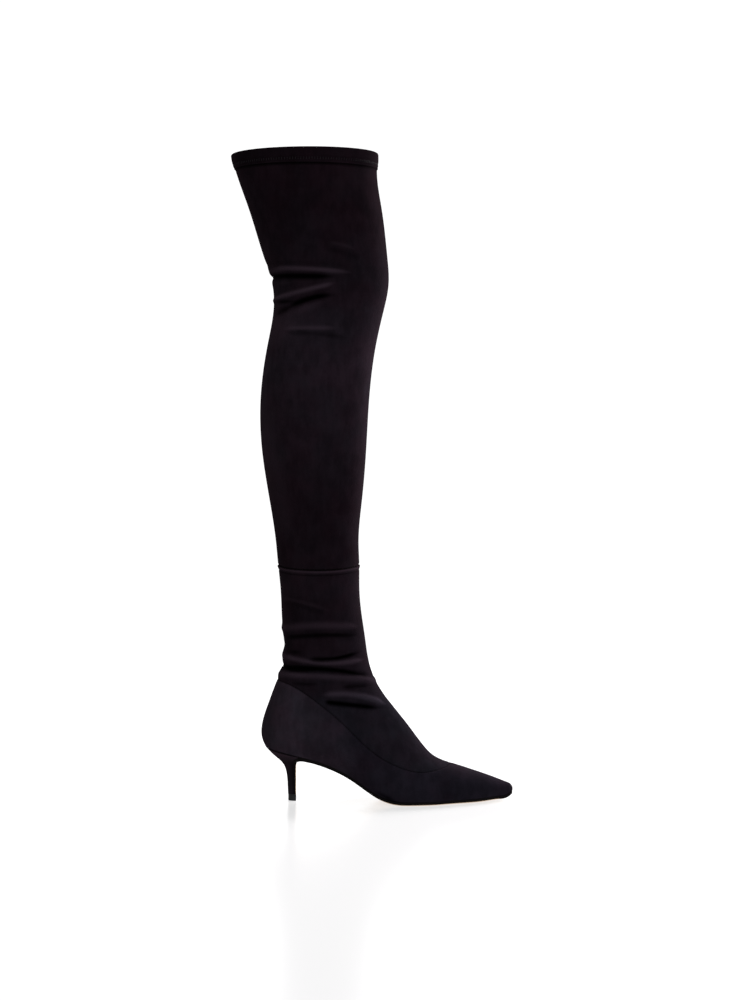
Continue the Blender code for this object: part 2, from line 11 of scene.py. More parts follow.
import bmesh
import bpy
import numpy as np
from bpy.props import FloatProperty, FloatVectorProperty, PointerProperty
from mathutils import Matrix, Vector


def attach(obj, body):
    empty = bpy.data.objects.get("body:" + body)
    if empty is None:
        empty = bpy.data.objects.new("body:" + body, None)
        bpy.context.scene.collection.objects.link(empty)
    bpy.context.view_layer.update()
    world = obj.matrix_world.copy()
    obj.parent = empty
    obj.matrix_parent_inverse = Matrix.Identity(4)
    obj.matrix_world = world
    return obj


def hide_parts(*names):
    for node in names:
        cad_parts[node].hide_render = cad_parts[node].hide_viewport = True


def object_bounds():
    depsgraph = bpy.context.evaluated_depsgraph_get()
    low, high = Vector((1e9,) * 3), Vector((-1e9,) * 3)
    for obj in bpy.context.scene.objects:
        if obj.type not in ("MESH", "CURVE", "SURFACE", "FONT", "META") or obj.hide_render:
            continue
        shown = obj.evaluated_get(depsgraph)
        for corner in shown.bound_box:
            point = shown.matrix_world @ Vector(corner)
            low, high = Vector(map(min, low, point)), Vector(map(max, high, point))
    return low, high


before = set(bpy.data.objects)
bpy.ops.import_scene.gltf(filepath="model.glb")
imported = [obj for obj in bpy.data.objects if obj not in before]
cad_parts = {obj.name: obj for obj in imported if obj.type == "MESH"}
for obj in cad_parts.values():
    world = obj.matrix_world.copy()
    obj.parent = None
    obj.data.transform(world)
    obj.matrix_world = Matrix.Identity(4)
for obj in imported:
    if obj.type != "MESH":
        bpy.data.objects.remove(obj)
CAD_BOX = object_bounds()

bl_info = {
    "name": "Over-the-knee boot",
    "version": (1, 0, 0),
    "blender": (4, 5, 0),
    "location": "3D View > Sidebar > Boot",
    "description": "Suede panels, folded band, heel and leather sole of an over-the-knee boot",
    "category": "Mesh",
}

MM = 0.001
BODY = "root"

# Driving sizes of the boot
TOE_X = 141.0
SEAT_BACK_X = -105.4
SEAT_ROUND = 35.0
NOSE_ROUND = 6.0
BALL_WIDTH = 73.0
TOE_SWING = 4.0
HEEL_HEIGHT = 53.0
INSTEP_HEIGHT = 93.5
TOP_HEIGHT = 646.2
TOP_SLOPE = 1.6
LEG_WALL = 1.4
FOOT_WALL = 1.8
SOLE_THICKNESS = 3.0
INSOLE_THICKNESS = 2.0
INSOLE_INSET = 2.8
INSOLE_SHORT = 7.0
SOLE_INSET = 0.3
LIFT_HEIGHT = 6.3
LIFT_BACK_X = -83.6
BAND_DEPTH = 15.0
BAND_LAYER = 0.8
GAP = 0.3

# Sections of the leg and heel, top to bottom: a line from back to front, and half the width across it
LEG_COLUMNS = ("back_x", "back_z", "front_x", "front_z", "half_outer", "half_inner")
LEG_SECTIONS = (
    (-140.1, TOP_HEIGHT - TOP_SLOPE, 5.7, TOP_HEIGHT, 56.0, 56.0),
    (-136.0, 629.5, 4.8, 629.5, 55.4, 55.4),
    (-122.3, 590.0, 9.7, 590.0, 55.2, 55.2),
    (-107.6, 543.0, 15.2, 543.0, 54.3, 54.3),
    (-98.9, 514.0, 16.3, 514.0, 53.0, 53.0),
    (-98.0, 489.0, 11.4, 489.0, 51.5, 51.5),
    (-103.7, 456.0, 4.0, 456.0, 50.5, 50.5),
    (-110.8, 402.0, -2.9, 402.0, 50.0, 50.0),
    (-109.4, 350.0, -6.0, 350.0, 47.5, 47.5),
    (-101.8, 300.0, -10.2, 300.0, 43.0, 43.0),
    (-95.5, 258.0, -13.6, 258.0, 39.8, 39.8),
    (-93.4, 236.0, -12.9, 236.0, 38.6, 38.6),
    (-90.8, 210.0, -12.8, 212.0, 37.5, 37.5),
    (-89.4, 180.0, -10.6, 186.0, 36.5, 36.5),
    (-87.8, 152.0, -6.8, 160.0, 35.5, 35.5),
    (-91.0, 130.0, -3.2, 138.0, 35.0, 35.0),
    (-97.0, 114.0, 2.2, 122.0, 34.5, 34.5),
    (-104.0, 95.0, 8.2, 111.0, 33.7, 33.5),
    (-109.0, 79.0, 14.0, 102.5, 33.0, 32.7),
    (-109.8, 64.0, 18.0, 97.5, 32.7, 32.2),
    (SEAT_BACK_X, HEEL_HEIGHT, 21.2, INSTEP_HEIGHT, 32.5, 32.0),
)

# Sections of the foot, heel to toe: a line from the sole to the ridge of the vamp
FOOT_COLUMNS = ("sole_x", "front_x", "front_z", "half_outer", "half_inner")
FOOT_SECTIONS = (
    (-90.0, 27.5, 85.6, 32.8, 32.0),
    (-70.0, 35.5, 75.5, 33.3, 32.0),
    (-45.0, 44.0, 64.0, 34.0, 32.3),
    (-20.0, 52.0, 53.6, 35.2, 33.7),
    (5.0, 61.0, 44.6, 37.4, 36.0),
    (30.0, 72.0, 38.9, 38.6, 38.0),
    (55.0, 85.0, 34.9, 36.8, 37.4),
    (80.0, 101.0, 29.7, 29.4, 31.0),
    (105.0, 117.0, 24.3, 19.8, 21.0),
    (125.0, 129.5, 19.6, 11.2, 11.8),
    (135.0, 136.0, 17.1, 6.9, 7.1),
    (139.6, 139.7, 14.7, 5.1, 5.2),
    (TOE_X, TOE_X, 12.6, 4.5, 4.6),
)

# Underside of the sole in the side view, before it is cut flat at the floor
TREAD_COLUMNS = ("x", "height")
TREAD = (
    (SEAT_BACK_X, HEEL_HEIGHT - SOLE_THICKNESS),
    (-75.0, 44.2),
    (-60.0, 40.4),
    (-40.0, 33.1),
    (-20.0, 22.4),
    (0.0, 9.1),
    (12.0, 3.3),
    (22.0, 0.75),
    (30.0, 0.0),
    (62.0, 0.0),
    (90.0, 0.3),
    (110.0, 0.6),
    (125.0, 1.6),
    (136.0, 3.2),
    (TOE_X, 6.5),
)

# Outline of the sole: place along it as a share of its length, half widths as shares of the ball's width
PLAN_COLUMNS = ("along", "outer", "inner")
PLAN = (
    (0.00, 0.352, 0.352),
    (0.14, 0.354, 0.354),
    (0.24, 0.325, 0.315),
    (0.32, 0.305, 0.280),
    (0.40, 0.345, 0.315),
    (0.48, 0.440, 0.415),
    (0.55, 0.493, 0.487),
    (0.61, 0.493, 0.500),
    (0.67, 0.462, 0.480),
    (0.75, 0.378, 0.405),
    (0.83, 0.278, 0.298),
    (0.91, 0.170, 0.182),
    (0.97, 0.092, 0.096),
    (1.00, 0.060, 0.062),
)

# Seam between foot and ankle in the side view, from the back of the counter to the throat
TOPLINE_COLUMNS = ("x", "z")
TOPLINE = (
    (-85.0, 119.2),
    (-70.0, 112.6),
    (-51.5, 99.8),
    (-31.5, 82.9),
    (-11.5, 63.3),
    (8.5, 47.2),
    (28.5, 37.3),
    (48.5, 32.3),
    (63.5, 33.2),
    (73.5, 35.3),
)
TOPLINE_BACK_Z = 121.0
TOPLINE_THROAT_X = 78.0
CALF_SEAM_Z = 236.0
CALF_SEAM_DIP = 4.0

# Heel block, seat to tip: flat front, half an ellipse behind it
HEEL_COLUMNS = ("back_x", "back_z", "front_x", "front_z", "half_width")
HEEL_SECTIONS = (
    (-105.1, 52.8, -72.4, 46.4, 25.4),
    (-100.4, 47.8, -74.6, 43.9, 20.6),
    (-95.7, 43.5, -76.4, 41.1, 15.6),
    (-91.2, 39.6, -77.3, 38.4, 11.6),
    (-88.0, 35.5, -77.6, 35.0, 9.0),
    (-86.1, 31.0, -77.6, 30.8, 7.5),
    (-84.9, 25.0, -77.6, 25.0, 6.5),
    (-84.2, 16.0, -77.6, 16.0, 5.7),
    (-83.8, 6.6, -77.4, 6.6, 5.2),
)
HEEL_FRONT_X = -75.7

# The sole's turn from the waist down the front of the heel, on its visible face
TURN_COLUMNS = ("x", "z", "half_width", "thick")
TURN = (
    (-60.0, 40.4, 24.7, 3.2),
    (-66.0, 41.7, 24.9, 3.7),
    (-70.6, 42.1, 24.2, 4.4),
    (-73.4, 41.0, 20.3, 3.6),
    (-75.1, 38.2, 12.6, 2.6),
    (HEEL_FRONT_X, 34.0, 8.6, 2.2),
    (HEEL_FRONT_X, 25.0, 6.5, 2.2),
    (HEEL_FRONT_X, 16.0, 5.7, 2.2),
    (HEEL_FRONT_X, 6.6, 5.2, 2.0),
)

# Folds on the outer side in the side view: three points of the crest or trough, from the back of the leg to
# its front, then height (a trough's is negative), width across it and the length over which each end fades.
# A fold with no fade at an end runs on round the leg.
FOLD_COLUMNS = ("back_x", "back_z", "mid_x", "mid_z", "front_x", "front_z", "height", "width",
                "back_fade", "front_fade")
KNEE_FOLDS = (
    (-40.4, 551.5, -29.4, 549.7, -18.4, 547.0, 0.6, 2.6, 8.0, 8.0),
    (-42.6, 544.9, -28.3, 542.9, -13.9, 537.9, -0.9, 3.6, 10.0, 10.0),
    (-96.0, 535.0, -55.0, 531.0, -30.0, 529.5, -0.5, 3.0, 0.0, 16.0),
    (-92.0, 530.0, -49.3, 525.6, -28.0, 523.8, 2.1, 2.5, 8.0, 18.0),
    (-104.0, 523.6, -67.0, 520.0, -42.0, 519.2, -3.3, 3.0, 10.0, 16.0),
    (-98.0, 500.4, -62.0, 507.0, -40.0, 511.8, 2.1, 2.3, 10.0, 8.0),
    (-92.0, 496.9, -87.0, 496.6, -78.0, 496.2, -1.2, 2.0, 4.0, 8.0),
    (-92.5, 485.4, -87.0, 487.4, -79.0, 491.2, -1.4, 2.5, 4.0, 8.0),
    (-78.0, 492.9, -62.0, 497.8, -42.0, 500.8, -3.3, 3.1, 8.0, 14.0),
    (-83.0, 469.3, -57.0, 468.8, -38.0, 468.9, 0.9, 2.4, 8.0, 12.0),
    (-80.0, 465.8, -60.4, 464.2, -31.0, 460.6, -1.3, 2.8, 8.0, 10.0),
)
ANKLE_FOLDS = (
    (-86.0, 203.8, -66.0, 199.6, -45.0, 193.6, 0.55, 2.4, 4.0, 12.0),
    (-84.0, 199.4, -66.0, 195.2, -48.5, 189.8, -0.6, 2.4, 6.0, 12.0),
    (-84.1, 174.8, -50.7, 177.9, -18.0, 176.0, 1.3, 3.6, 0.0, 8.0),
    (-84.0, 165.2, -52.7, 167.8, -20.0, 167.4, -2.3, 2.7, 8.0, 11.0),
    (-92.0, 158.0, -84.0, 158.0, -77.0, 158.0, -1.0, 4.5, 0.0, 6.0),
    (-86.0, 149.8, -80.0, 150.2, -71.0, 151.0, -1.2, 2.4, 4.0, 6.0),
    (-60.0, 144.4, -40.2, 144.5, -16.0, 149.4, -3.0, 2.1, 6.0, 6.0),
    (-94.0, 148.0, -86.0, 147.2, -78.0, 145.4, 1.5, 4.6, 0.0, 6.0),
    (-81.0, 145.4, -45.0, 141.0, -12.0, 142.6, 2.1, 2.5, 6.0, 8.0),
    (-92.0, 137.4, -86.0, 136.6, -80.0, 135.2, -1.8, 2.6, 0.0, 4.0),
    (-82.0, 134.2, -50.0, 134.6, -8.0, 128.2, -3.2, 2.6, 5.0, 18.0),
    (-89.9, 128.2, -45.0, 127.8, 4.0, 121.9, 1.4, 3.4, 0.0, 10.0),
    (-79.0, 119.9, -67.7, 119.6, -55.0, 119.9, -1.2, 1.8, 4.0, 4.0),
    (-27.0, 116.6, -16.0, 117.3, -6.0, 117.2, -1.6, 2.0, 4.0, 4.0),
    (-45.0, 109.8, -22.0, 109.7, 10.0, 99.5, 1.75, 2.8, 7.0, 7.0),
    (-45.0, 101.8, -25.6, 99.5, 5.0, 95.8, -3.1, 2.8, 4.0, 11.0),
)
FOLD_TAPER = 0.5          # share of its width that a fold keeps at a faded end
FOLD_REACH = 15.0         # how far past its end points a fold keeps its curve
INNER_DROP = 3.0          # how much lower the folds run on the inner side
INNER_EASE = 0.3          # share of their height that they lose there

# Places in the side view painted darker or lighter, each a slanted stroke with its slant in degrees.
# They are painted shade where folds tuck under and on sides turned from the lamps, painted highlights on
# crests and on edges that catch the light, and in part patches where the nap's own tone differs.
MARK_COLUMNS = ("x", "z", "tint", "length", "width", "slant")
LEG_MARKS = (
    (-95.0, 526.8, 0.5, 8.0, 2.6, -8.0),
    (-88.0, 488.4, -0.42, 9.0, 3.2, 24.0),
    (-87.0, 496.4, -0.42, 10.0, 2.4, -2.0),
    (-52.0, 275.0, -0.15, 45.0, 24.0, 90.0),
    (-84.0, 472.0, 0.26, 26.0, 20.0, 0.0),
    (-102.0, 364.0, 0.17, 44.0, 9.0, 92.0),
    (-87.0, 288.0, 0.15, 36.0, 8.0, 100.0),
    (-93.0, 318.0, 0.16, 52.0, 16.0, 100.0),
    (-22.0, 625.0, 0.14, 34.0, 20.0, 90.0),
    (-86.0, 515.0, 0.22, 8.0, 3.0, 0.0),
    (-62.0, 490.0, 0.26, 16.0, 4.0, 20.0),
    (-22.0, 482.0, -0.14, 30.0, 12.0, 85.0),
)
ANKLE_MARKS = (
    (-75.0, 134.2, -1.0, 13.0, 2.8, 1.0),
    (-78.0, 150.5, -0.25, 10.0, 3.4, 0.0),
    (-74.0, 128.0, 0.3, 12.0, 3.0, -4.0),
    (-28.0, 158.0, 0.14, 18.0, 6.0, 0.0),
    (-34.0, 86.0, 0.13, 16.0, 7.0, -40.0),
)
BAND_MARKS = (
    (-28.0, 640.0, 0.2, 26.0, 20.0, 90.0),
    (-124.0, 640.0, -0.12, 26.0, 22.0, 90.0),
)
FOOT_MARKS = (
    (14.5, 8.4, -0.6, 12.0, 2.4, -25.0),
)
NAP_STAND = 0.35                   # how far the nap stands off the skin of leg and ankle
FOOT_NAP_STAND = 0.25
TIP_REACH = 4.0                    # the relief of the foot ends over this distance before the tip of the toe

# Sole: how far it reaches into the upper, and the radii of rounded edges
SOLE_HOLD = 0.5
SOLE_EDGE = 1.1
TURN_EDGE = 0.4
INSOLE_EDGE = 0.6
LIFT_EDGE = 0.35

# Ink: places along the foot, and how much of a side a face of the sole has to be there to be inked
INK_PLACES = (2.0, 14.0, 126.0, 133.0, 138.5, 139.5)
INK_LIMITS = (0.3, 0.9, 0.9, 0.3, 0.3, -0.5)

# Seams
CALF_GROOVE = (0.0, -0.9, 0.7)     # distance below the seam, height, width
CALF_LIP = (1.8, 0.7, 1.5)
CALF_STITCH_LINE = (5.2, -0.45, 0.7)
TOPLINE_GROOVE = (-0.5, 1.1)       # height and width on the ankle panel
FOOT_GROOVE = (-0.4, 0.8)          # and on the foot
FEATHER_TUCK = (-0.4, 1.0)         # where the foot turns in to the sole
SEAM_CALM = (0.8, 3.0)             # share of the folds that the topline flattens, and its width
CREASE_SCALE = 3.2                 # relief that counts as a full trough in the suede's painted shade
CREST_SCALE = 2.3                  # and as a full crest in its painted highlight

# Painted shade in the grooves of the seams and painted highlight on their lips, in the suede's colour:
# distance from the seam, tint, width
CALF_LINES = ((0.0, -0.8, 0.6), (1.7, 0.35, 1.1), (5.2, -0.3, 0.7))
TOPLINE_LINE = (-0.4, 0.5)         # tint and width
FEATHER_LINE = (-0.8, 0.9)
STEM_LINE = (-0.5, 0.4)            # painted shade down the heel's stem; its width is in radians round the heel
STEM_START = (10.0, 26.0)          # distances from the seat between which it sets in
BAND_SHADOW = (BAND_DEPTH + 0.8, -0.8, 1.4)

# Nap of the suede
LEG_SHEEN = 0.008
FOOT_SHEEN = 0.012
HEEL_SHEEN = 0.01
SHEEN_TINT = (1.0, 0.76, 0.86, 1.0)
SHEEN_ROUGHNESS = 0.45
NAP_DIFFUSE = 0.6                  # roughness of its diffuse light
NAP_ROUGHNESS = (0.82, 0.97)
NAP_RELIEF = (0.22, 0.6)           # height and strength
NAP_TONES = (0.78, 1.3)            # tones between which its brush marks drift
CLOUD_SHARE = 0.6                  # shares of cloudy marks and long strokes in them
STROKE_SHARE = 0.4
STROKE_RELIEF = 0.6                # and how high the strokes stand, beside the fibres
STROKE_STRETCH = (1.0, 1.0, 0.35)
BRUSH_RANGE = (0.34, 0.66)         # parts of the noise over which marks, fibres and hue drift
FIBRE_RANGE = (0.25, 0.75)
HUE_RANGE = (0.35, 0.65)
BRUSH_LEVELS = (0.0, 0.85)         # and how far they do
FIBRE_LEVELS = (-0.15, 0.15)
CREST_RANGE = (0.04, 0.95)         # tints over which the suede gets a painted highlight on crests
CREASE_RANGE = (-0.02, -0.85)      # and painted shade in troughs
# Painted highlight and painted shade, as factors of the suede's colour
CREST_TONE = 3.4
CREASE_TONE = 0.02
WARM = (1.07, 0.96, 1.0)           # tints between which its hue drifts
COOL = (0.94, 1.02, 1.02)
RED = (1.12, 0.86, 0.88)           # and the wider ones that follow along the boot
BLUE = (0.95, 1.01, 1.14)
SLATE = (0.89, 1.11, 1.09)

# Colour along an axis: the axis and the cool tint, then rows of place, factor of the colour, and hue, cool
# below 0 and red above
# The factors are partly the suede's own tone and partly painted light and shade along the boot.
LEG_TONES = (
    "Z", SLATE,
    (40.0, 1.38, -1.0), (95.0, 1.36, -1.0), (120.0, 1.0, 0.0), (170.0, 0.9, 0.2), (192.0, 0.88, 0.4),
    (215.0, 1.08, 0.2), (240.0, 0.9, 0.4), (300.0, 0.92, 0.4), (385.0, 1.26, 0.0), (436.0, 1.55, -0.1),
    (465.0, 1.42, 0.0), (520.0, 0.95, 0.1), (600.0, 0.74, 0.6), (629.0, 0.76, 0.6), (634.0, 0.62, 0.6),
    (646.0, 0.58, 0.6),
)
FOOT_TONES = (
    "X", BLUE,
    (-105.0, 1.5, 0.1), (-92.0, 1.95, 0.1), (-76.0, 2.2, 0.0), (-58.0, 1.62, 0.1), (-33.0, 1.5, -0.2),
    (-10.0, 1.05, -0.6), (30.0, 1.12, -0.6), (55.0, 1.12, -0.7), (76.0, 0.82, -0.7), (95.0, 0.9, -0.7),
    (110.0, 1.05, -0.6), (128.0, 1.15, -0.6),
)
HEEL_TONES = (
    "Z", BLUE,
    (10.0, 1.8, 0.2), (30.0, 1.6, 0.2), (40.0, 1.05, 0.5), (50.0, 2.3, 0.5),
)

# Leather, rubber and thread
HIDE_TONES = (0.88, 1.08)
HIDE_ROUGHNESS = (0.36, 0.5)
PORE_RANGE = (0.62, 0.75)
PORE_LEVELS = (0.0, 0.35)
PORE_TONE = 0.6
SCUFF_RANGE = (0.4, 0.75)
SCUFF_TONE = 1.6
RUBBER_ROUGHNESS = (0.5, 0.65)
THREAD_TONES = (0.7, 1.3)

# Grains of the finishes: size of their spots, detail and roughness of the noise
GRAINS = {
    "clouds": (20.0, 4.0, 0.6),
    "strokes": (6.0, 3.0, 0.6),
    "fibres": (0.55, 3.0, 0.65),
    "hue": (34.0, 3.0, 0.6),
    "ribs": (0.8, 1.0, 0.5),
    "hide": (18.0, 3.0, 0.55),
    "pores": (0.7, 2.0, 0.6),
    "ink": (1.2, 3.0, 0.6),
    "moulding": (0.35, 2.0, 0.5),
    "scuffs": (2.2, 3.0, 0.6),
    "twist": (0.3, 1.0, 0.5),
}
GRAIN_RANGE = (0.3, 0.7)           # part of a grain's noise that its gloss follows
RANGE_SOCKETS = ("From Min", "From Max", "To Min", "To Max")

# Band: swell of its outer face, its dip and the painted shade along it at the stitches, how far its hem
# drops below the face, and its clearance over the edge of the leg panel
BAND_SWELL = 0.45
BAND_DIP = (0.25, 2.0)
BAND_LINE = (-0.2, 2.0)
BAND_HEM = 0.25
BAND_CLEAR = 0.6

# Stitches of the band
STITCH_PITCH = 2.7
STITCH_DEPTH = BAND_DEPTH - 3.6    # their middle below the top edge
STITCH_HALF = 1.7                  # half their height
STITCH_SLANT = 0.3                 # half their lean along the band
STITCH_RADIUS = 0.26
STITCH_LIFT = 0.1
STITCH_SINK = 0.45
STITCH_DIVE = 4                    # power of the curve by which their ends dive into the band
STITCH_BLUNT = 6                   # and of the one by which they taper
STITCH_TIP = 0.02                  # least square of their thickness, as a share of the full one
STITCH_STEPS = 9
STITCH_SIDES = 8

# Stage: the floor in millimetres, lights in metres and watts
FLOOR_RADIUS = 1300.0
FLOOR_DROP = 0.1          # its distance under the boot
FLOOR_RINGS = 25
FLOOR_SPOKES = 72
FLOOR_SHARE = 0.16        # share of the floor's tone that the studio lights
FLOOR_GLOW = 0.64         # and the light from below
FLOOR_ROUGHNESS = 0.22
FLOOR_IOR = 1.3
WHITE = (1.0, 1.0, 1.0)
HORIZON_LIGHT = 1.08      # brightness of the surroundings at the horizon
ZENITH_LIGHT = 0.45       # and overhead
SKY_RANGE = (0.15, 0.6)   # rise of a direction over which the one turns to the other
LENS = 72.0
SENSOR = 36.0
AIM = (0.0, 0.0, 0.3)
LIGHT_COLUMNS = ("name", "place", "aim", "size", "power", "colour")
LIGHTS = (
    ("overhead", (0.3, 0.1, 2.4), (0.3, 0.1, 0.0), (3.0, 3.0), 50.0, WHITE),
    ("rim_strip", (1.42, 1.27, 0.9), AIM, (0.6, 1.4), 240.0, (1.0, 0.96, 0.98)),
    ("front_fill", (1.2, -1.3, 0.4), AIM, (0.9, 0.9), 20.0, (0.94, 0.98, 1.07)),
)

# Mesh density
LEG_ROWS = 215
RING_HALF = 104
ABOVE_ROWS = 116          # rows of the ankle panel above the topline
COUNTER_ROWS = 34
SEAT_ROWS = 26
WAIST_ROWS = 90
SEAM_ROWS = COUNTER_ROWS + SEAT_ROWS + WAIST_ROWS
SEAM_STEPS = 6 * SEAM_ROWS
VAMP_ROWS = 70
ANKLE_COLUMNS = 82
FOOT_COLUMNS_ACROSS = 48
RIDGE_RISE = 16.0         # how much higher a row of the ankle panel ends in front than it starts behind
THROAT_SLANT = 18.0
FRONT_EASE = 1.2          # how much further apart the ankle panel's columns lie towards the front
KNEE_AT = 142.0           # rows lie closer together round this section, over this reach
KNEE_REACH = 55.0
KNEE_WEIGHT = 2.2
SEAM_REACH = 4.0          # and beside a seam
SEAM_WEIGHT = 4.0
BAND_RING_HALF = 150
BAND_FACE_POINTS = 26
BAND_TOP_POINTS = 17
BAND_BACK_POINTS = 8
SOLE_STATIONS = 190
INSOLE_STATIONS = 90
TURN_STATIONS = 70
HEEL_STATIONS = 110
HEEL_POINTS = 61
HEEL_FRONT_POINTS = 8
LIFT_EDGE_POINTS = 5
EDGE_POINTS = 8
FACE_POINTS = 11
EDGE_SHARE = 0.45         # most of a plate's width that a rounded edge takes
END_TRIM = 0.4
FINE_STEPS = 3000
HALVINGS = 60
FADE_SLOPE = 4.0          # steepness of a fold's end
LEAST_NOSE = 1e-6         # keep a division and a sine within bounds at the tip of the toe
MOST_SINE = 0.999
LEAST_NORMAL = 1e-12
WELD = 0.01
SHARP_ANGLE = math.radians(45)


def column(table, columns, name):
    """One named column of a table."""
    return np.array([row[columns.index(name)] for row in table], float)


def spline(knots, values, at):
    """Natural cubic spline through the rows (knots, values), read at any places."""
    knots, values, at = (np.asarray(a, float) for a in (knots, values, at))
    step = np.diff(knots)
    slope = np.diff(values) / step
    system = np.eye(len(knots))
    right = np.zeros(len(knots))
    for i in range(1, len(knots) - 1):
        system[i, i - 1:i + 2] = step[i - 1], 2 * (step[i - 1] + step[i]), step[i]
        right[i] = 6 * (slope[i] - slope[i - 1])
    bend = np.linalg.solve(system, right)
    i = np.clip(np.searchsorted(knots, at) - 1, 0, len(step) - 1)
    a = (knots[i + 1] - at) / step[i]
    b = 1 - a
    curve = ((a ** 3 - a) * bend[i] + (b ** 3 - b) * bend[i + 1]) * step[i] ** 2 / 6
    return a * values[i] + b * values[i + 1] + curve


def path_length(x, z):
    """Distance along a line of side-view points, from the first to each of them."""
    return np.concatenate([[0.0], np.cumsum(np.hypot(np.diff(x), np.diff(z)))])


def tread_height(x):
    """Underside of the sole, flat where it would pass through the floor."""
    places, heights = (column(TREAD, TREAD_COLUMNS, name) for name in TREAD_COLUMNS)
    return np.maximum(spline(places, heights, x), 0.0)


def feather_height(x):
    """Height of the edge where the foot's suede meets the sole."""
    return tread_height(x) + SOLE_THICKNESS


def rounded_end(distance, length):
    """Quarter of an ellipse: 0 at an end, 1 at that length from it and beyond."""
    return np.sqrt(np.clip(1 - (1 - np.clip(distance / length, 0, 1)) ** 2, 0, 1))


def nose(x, end=TOE_X):
    """Rounding of the toe in plan: 0 at its end, 1 behind it."""
    return rounded_end(end - x, NOSE_ROUND)


def plan_half(x, side, inset=0.0, end=TOE_X):
    """Half width of the sole's outline at x, on the outer (-1) or inner (+1) side, drawn in by inset."""
    along = (np.asarray(x, float) - SEAT_BACK_X) / (TOE_X - SEAT_BACK_X)
    shares = column(PLAN, PLAN_COLUMNS, "outer" if side < 0 else "inner")
    half = BALL_WIDTH * spline(column(PLAN, PLAN_COLUMNS, "along"), shares, along) - inset
    return np.maximum(half, 0.0) * rounded_end(x - SEAT_BACK_X - inset, SEAT_ROUND) * nose(x, end)


def centre_y(x):
    """Middle line of the foot, which leans to the inner side with the square of the way to the toe."""
    return TOE_SWING * np.clip((np.asarray(x, float) - SEAT_BACK_X) / (TOE_X - SEAT_BACK_X), 0, 1) ** 2


class Skin:
    """Outer surface of the boot, in millimetres: a point for each section s and each angle round it.

    A section's number s is the mean distance along the back and front of the boot from the top edge to it.
    """

    def __init__(self):
        leg = {name: column(LEG_SECTIONS, LEG_COLUMNS, name) for name in LEG_COLUMNS}
        foot = {name: column(FOOT_SECTIONS, FOOT_COLUMNS, name) for name in FOOT_COLUMNS}
        self.front_x = np.concatenate([leg["front_x"], foot["front_x"]])
        self.front_z = np.concatenate([leg["front_z"], foot["front_z"]])
        self.half = {side: np.concatenate([leg[name], foot[name]])
                     for side, name in ((-1, "half_outer"), (1, "half_inner"))}
        self.back_x = np.concatenate([leg["back_x"], foot["sole_x"]])
        self.back_z = np.concatenate([leg["back_z"], feather_height(foot["sole_x"])])
        lengths = path_length(self.back_x, self.back_z), path_length(self.front_x, self.front_z)
        self.station = sum(lengths) / 2
        self.corner = len(LEG_SECTIONS) - 1
        self.seat = self.station[self.corner]
        self.end = self.station[-1]

    def back(self, s):
        """Side-view point where section s starts: on the back of the leg, or on the sole's edge."""
        s = np.asarray(s, float)
        leg = slice(0, self.corner + 1)
        foot = slice(self.corner, None)
        on_leg = s <= self.seat
        x = np.where(on_leg, spline(self.station[leg], self.back_x[leg], s),
                     spline(self.station[foot], self.back_x[foot], s))
        z = np.where(on_leg, spline(self.station[leg], self.back_z[leg], s), feather_height(x))
        return x, z

    def front(self, s):
        """Side-view point where section s ends: on the shin, instep or ridge of the vamp."""
        return spline(self.station, self.front_x, s), spline(self.station, self.front_z, s)

    def first_angle(self, s, side):
        """Angle at which section s starts: 0 on the leg, and where the sole cuts the ellipse on the foot."""
        s = np.asarray(s, float)
        x, _ = self.back(s)
        half = spline(self.station, self.half[side], s)
        stands = np.where(s > self.seat, plan_half(x, side) / np.maximum(nose(x), LEAST_NOSE) / half, 0.0)
        return np.arcsin(np.clip(stands, 0, MOST_SINE))

    def point(self, s, angle, side):
        """Point on section s, at an angle that runs from 0 at the back or low end to pi at the front."""
        s, angle = np.broadcast_arrays(np.asarray(s, float), np.asarray(angle, float))
        back_x, back_z = self.back(s)
        front_x, front_z = self.front(s)
        start = self.first_angle(s, side)
        share = (np.cos(start) - np.cos(angle)) / (1 + np.cos(start))
        on_foot = s > self.seat
        half = spline(self.station, self.half[side], s) * np.where(on_foot, nose(back_x), 1.0)
        middle = np.where(on_foot, centre_y(back_x), 0.0)
        return np.stack([back_x + (front_x - back_x) * share, middle + side * half * np.sin(angle),
                         back_z + (front_z - back_z) * share], axis=-1)

    def normal(self, s, angle, side):
        """Outward unit normal, from small steps along and round the surface."""
        step = 0.05
        turn = 0.0005
        s, angle = np.broadcast_arrays(np.asarray(s, float), np.asarray(angle, float))
        ahead = np.minimum(s + step, self.end)
        behind = np.maximum(s - step, 0)
        along = self.point(ahead, angle, side) - self.point(behind, angle, side)
        around = self.point(s, angle + turn, side) - self.point(s, angle - turn, side)
        out = side * np.cross(around, along)
        return out / np.maximum(np.linalg.norm(out, axis=-1, keepdims=True), LEAST_NORMAL)

    def section_through(self, x, z):
        """Section and angle of the side-view point (x, z) on the outer side, by halving the range."""
        low, high = np.zeros_like(x), np.full_like(x, self.end)
        for _ in range(HALVINGS):
            s = (low + high) / 2
            back_x, back_z = self.back(s)
            front_x, front_z = self.front(s)
            below = (front_x - back_x) * (z - back_z) - (front_z - back_z) * (x - back_x) < 0
            low, high = np.where(below, s, low), np.where(below, high, s)
        run, rise = front_x - back_x, front_z - back_z
        share = np.clip(((x - back_x) * run + (z - back_z) * rise) / (run ** 2 + rise ** 2), 0, 1)
        start = self.first_angle(s, -1)
        return s, np.arccos(np.clip(np.cos(start) - share * (1 + np.cos(start)), -1, 1))


SKIN = Skin()


def section_at_back(z):
    """Section whose back point has this height, on the leg."""
    s = np.linspace(0, SKIN.seat, FINE_STEPS)
    return float(np.interp(-z, -SKIN.back(s)[1], s))


def section_at_front(x):
    """Section whose ridge point has this x, on the vamp."""
    s = np.linspace(SKIN.seat, SKIN.end, FINE_STEPS)
    return float(np.interp(x, SKIN.front(s)[0], s))


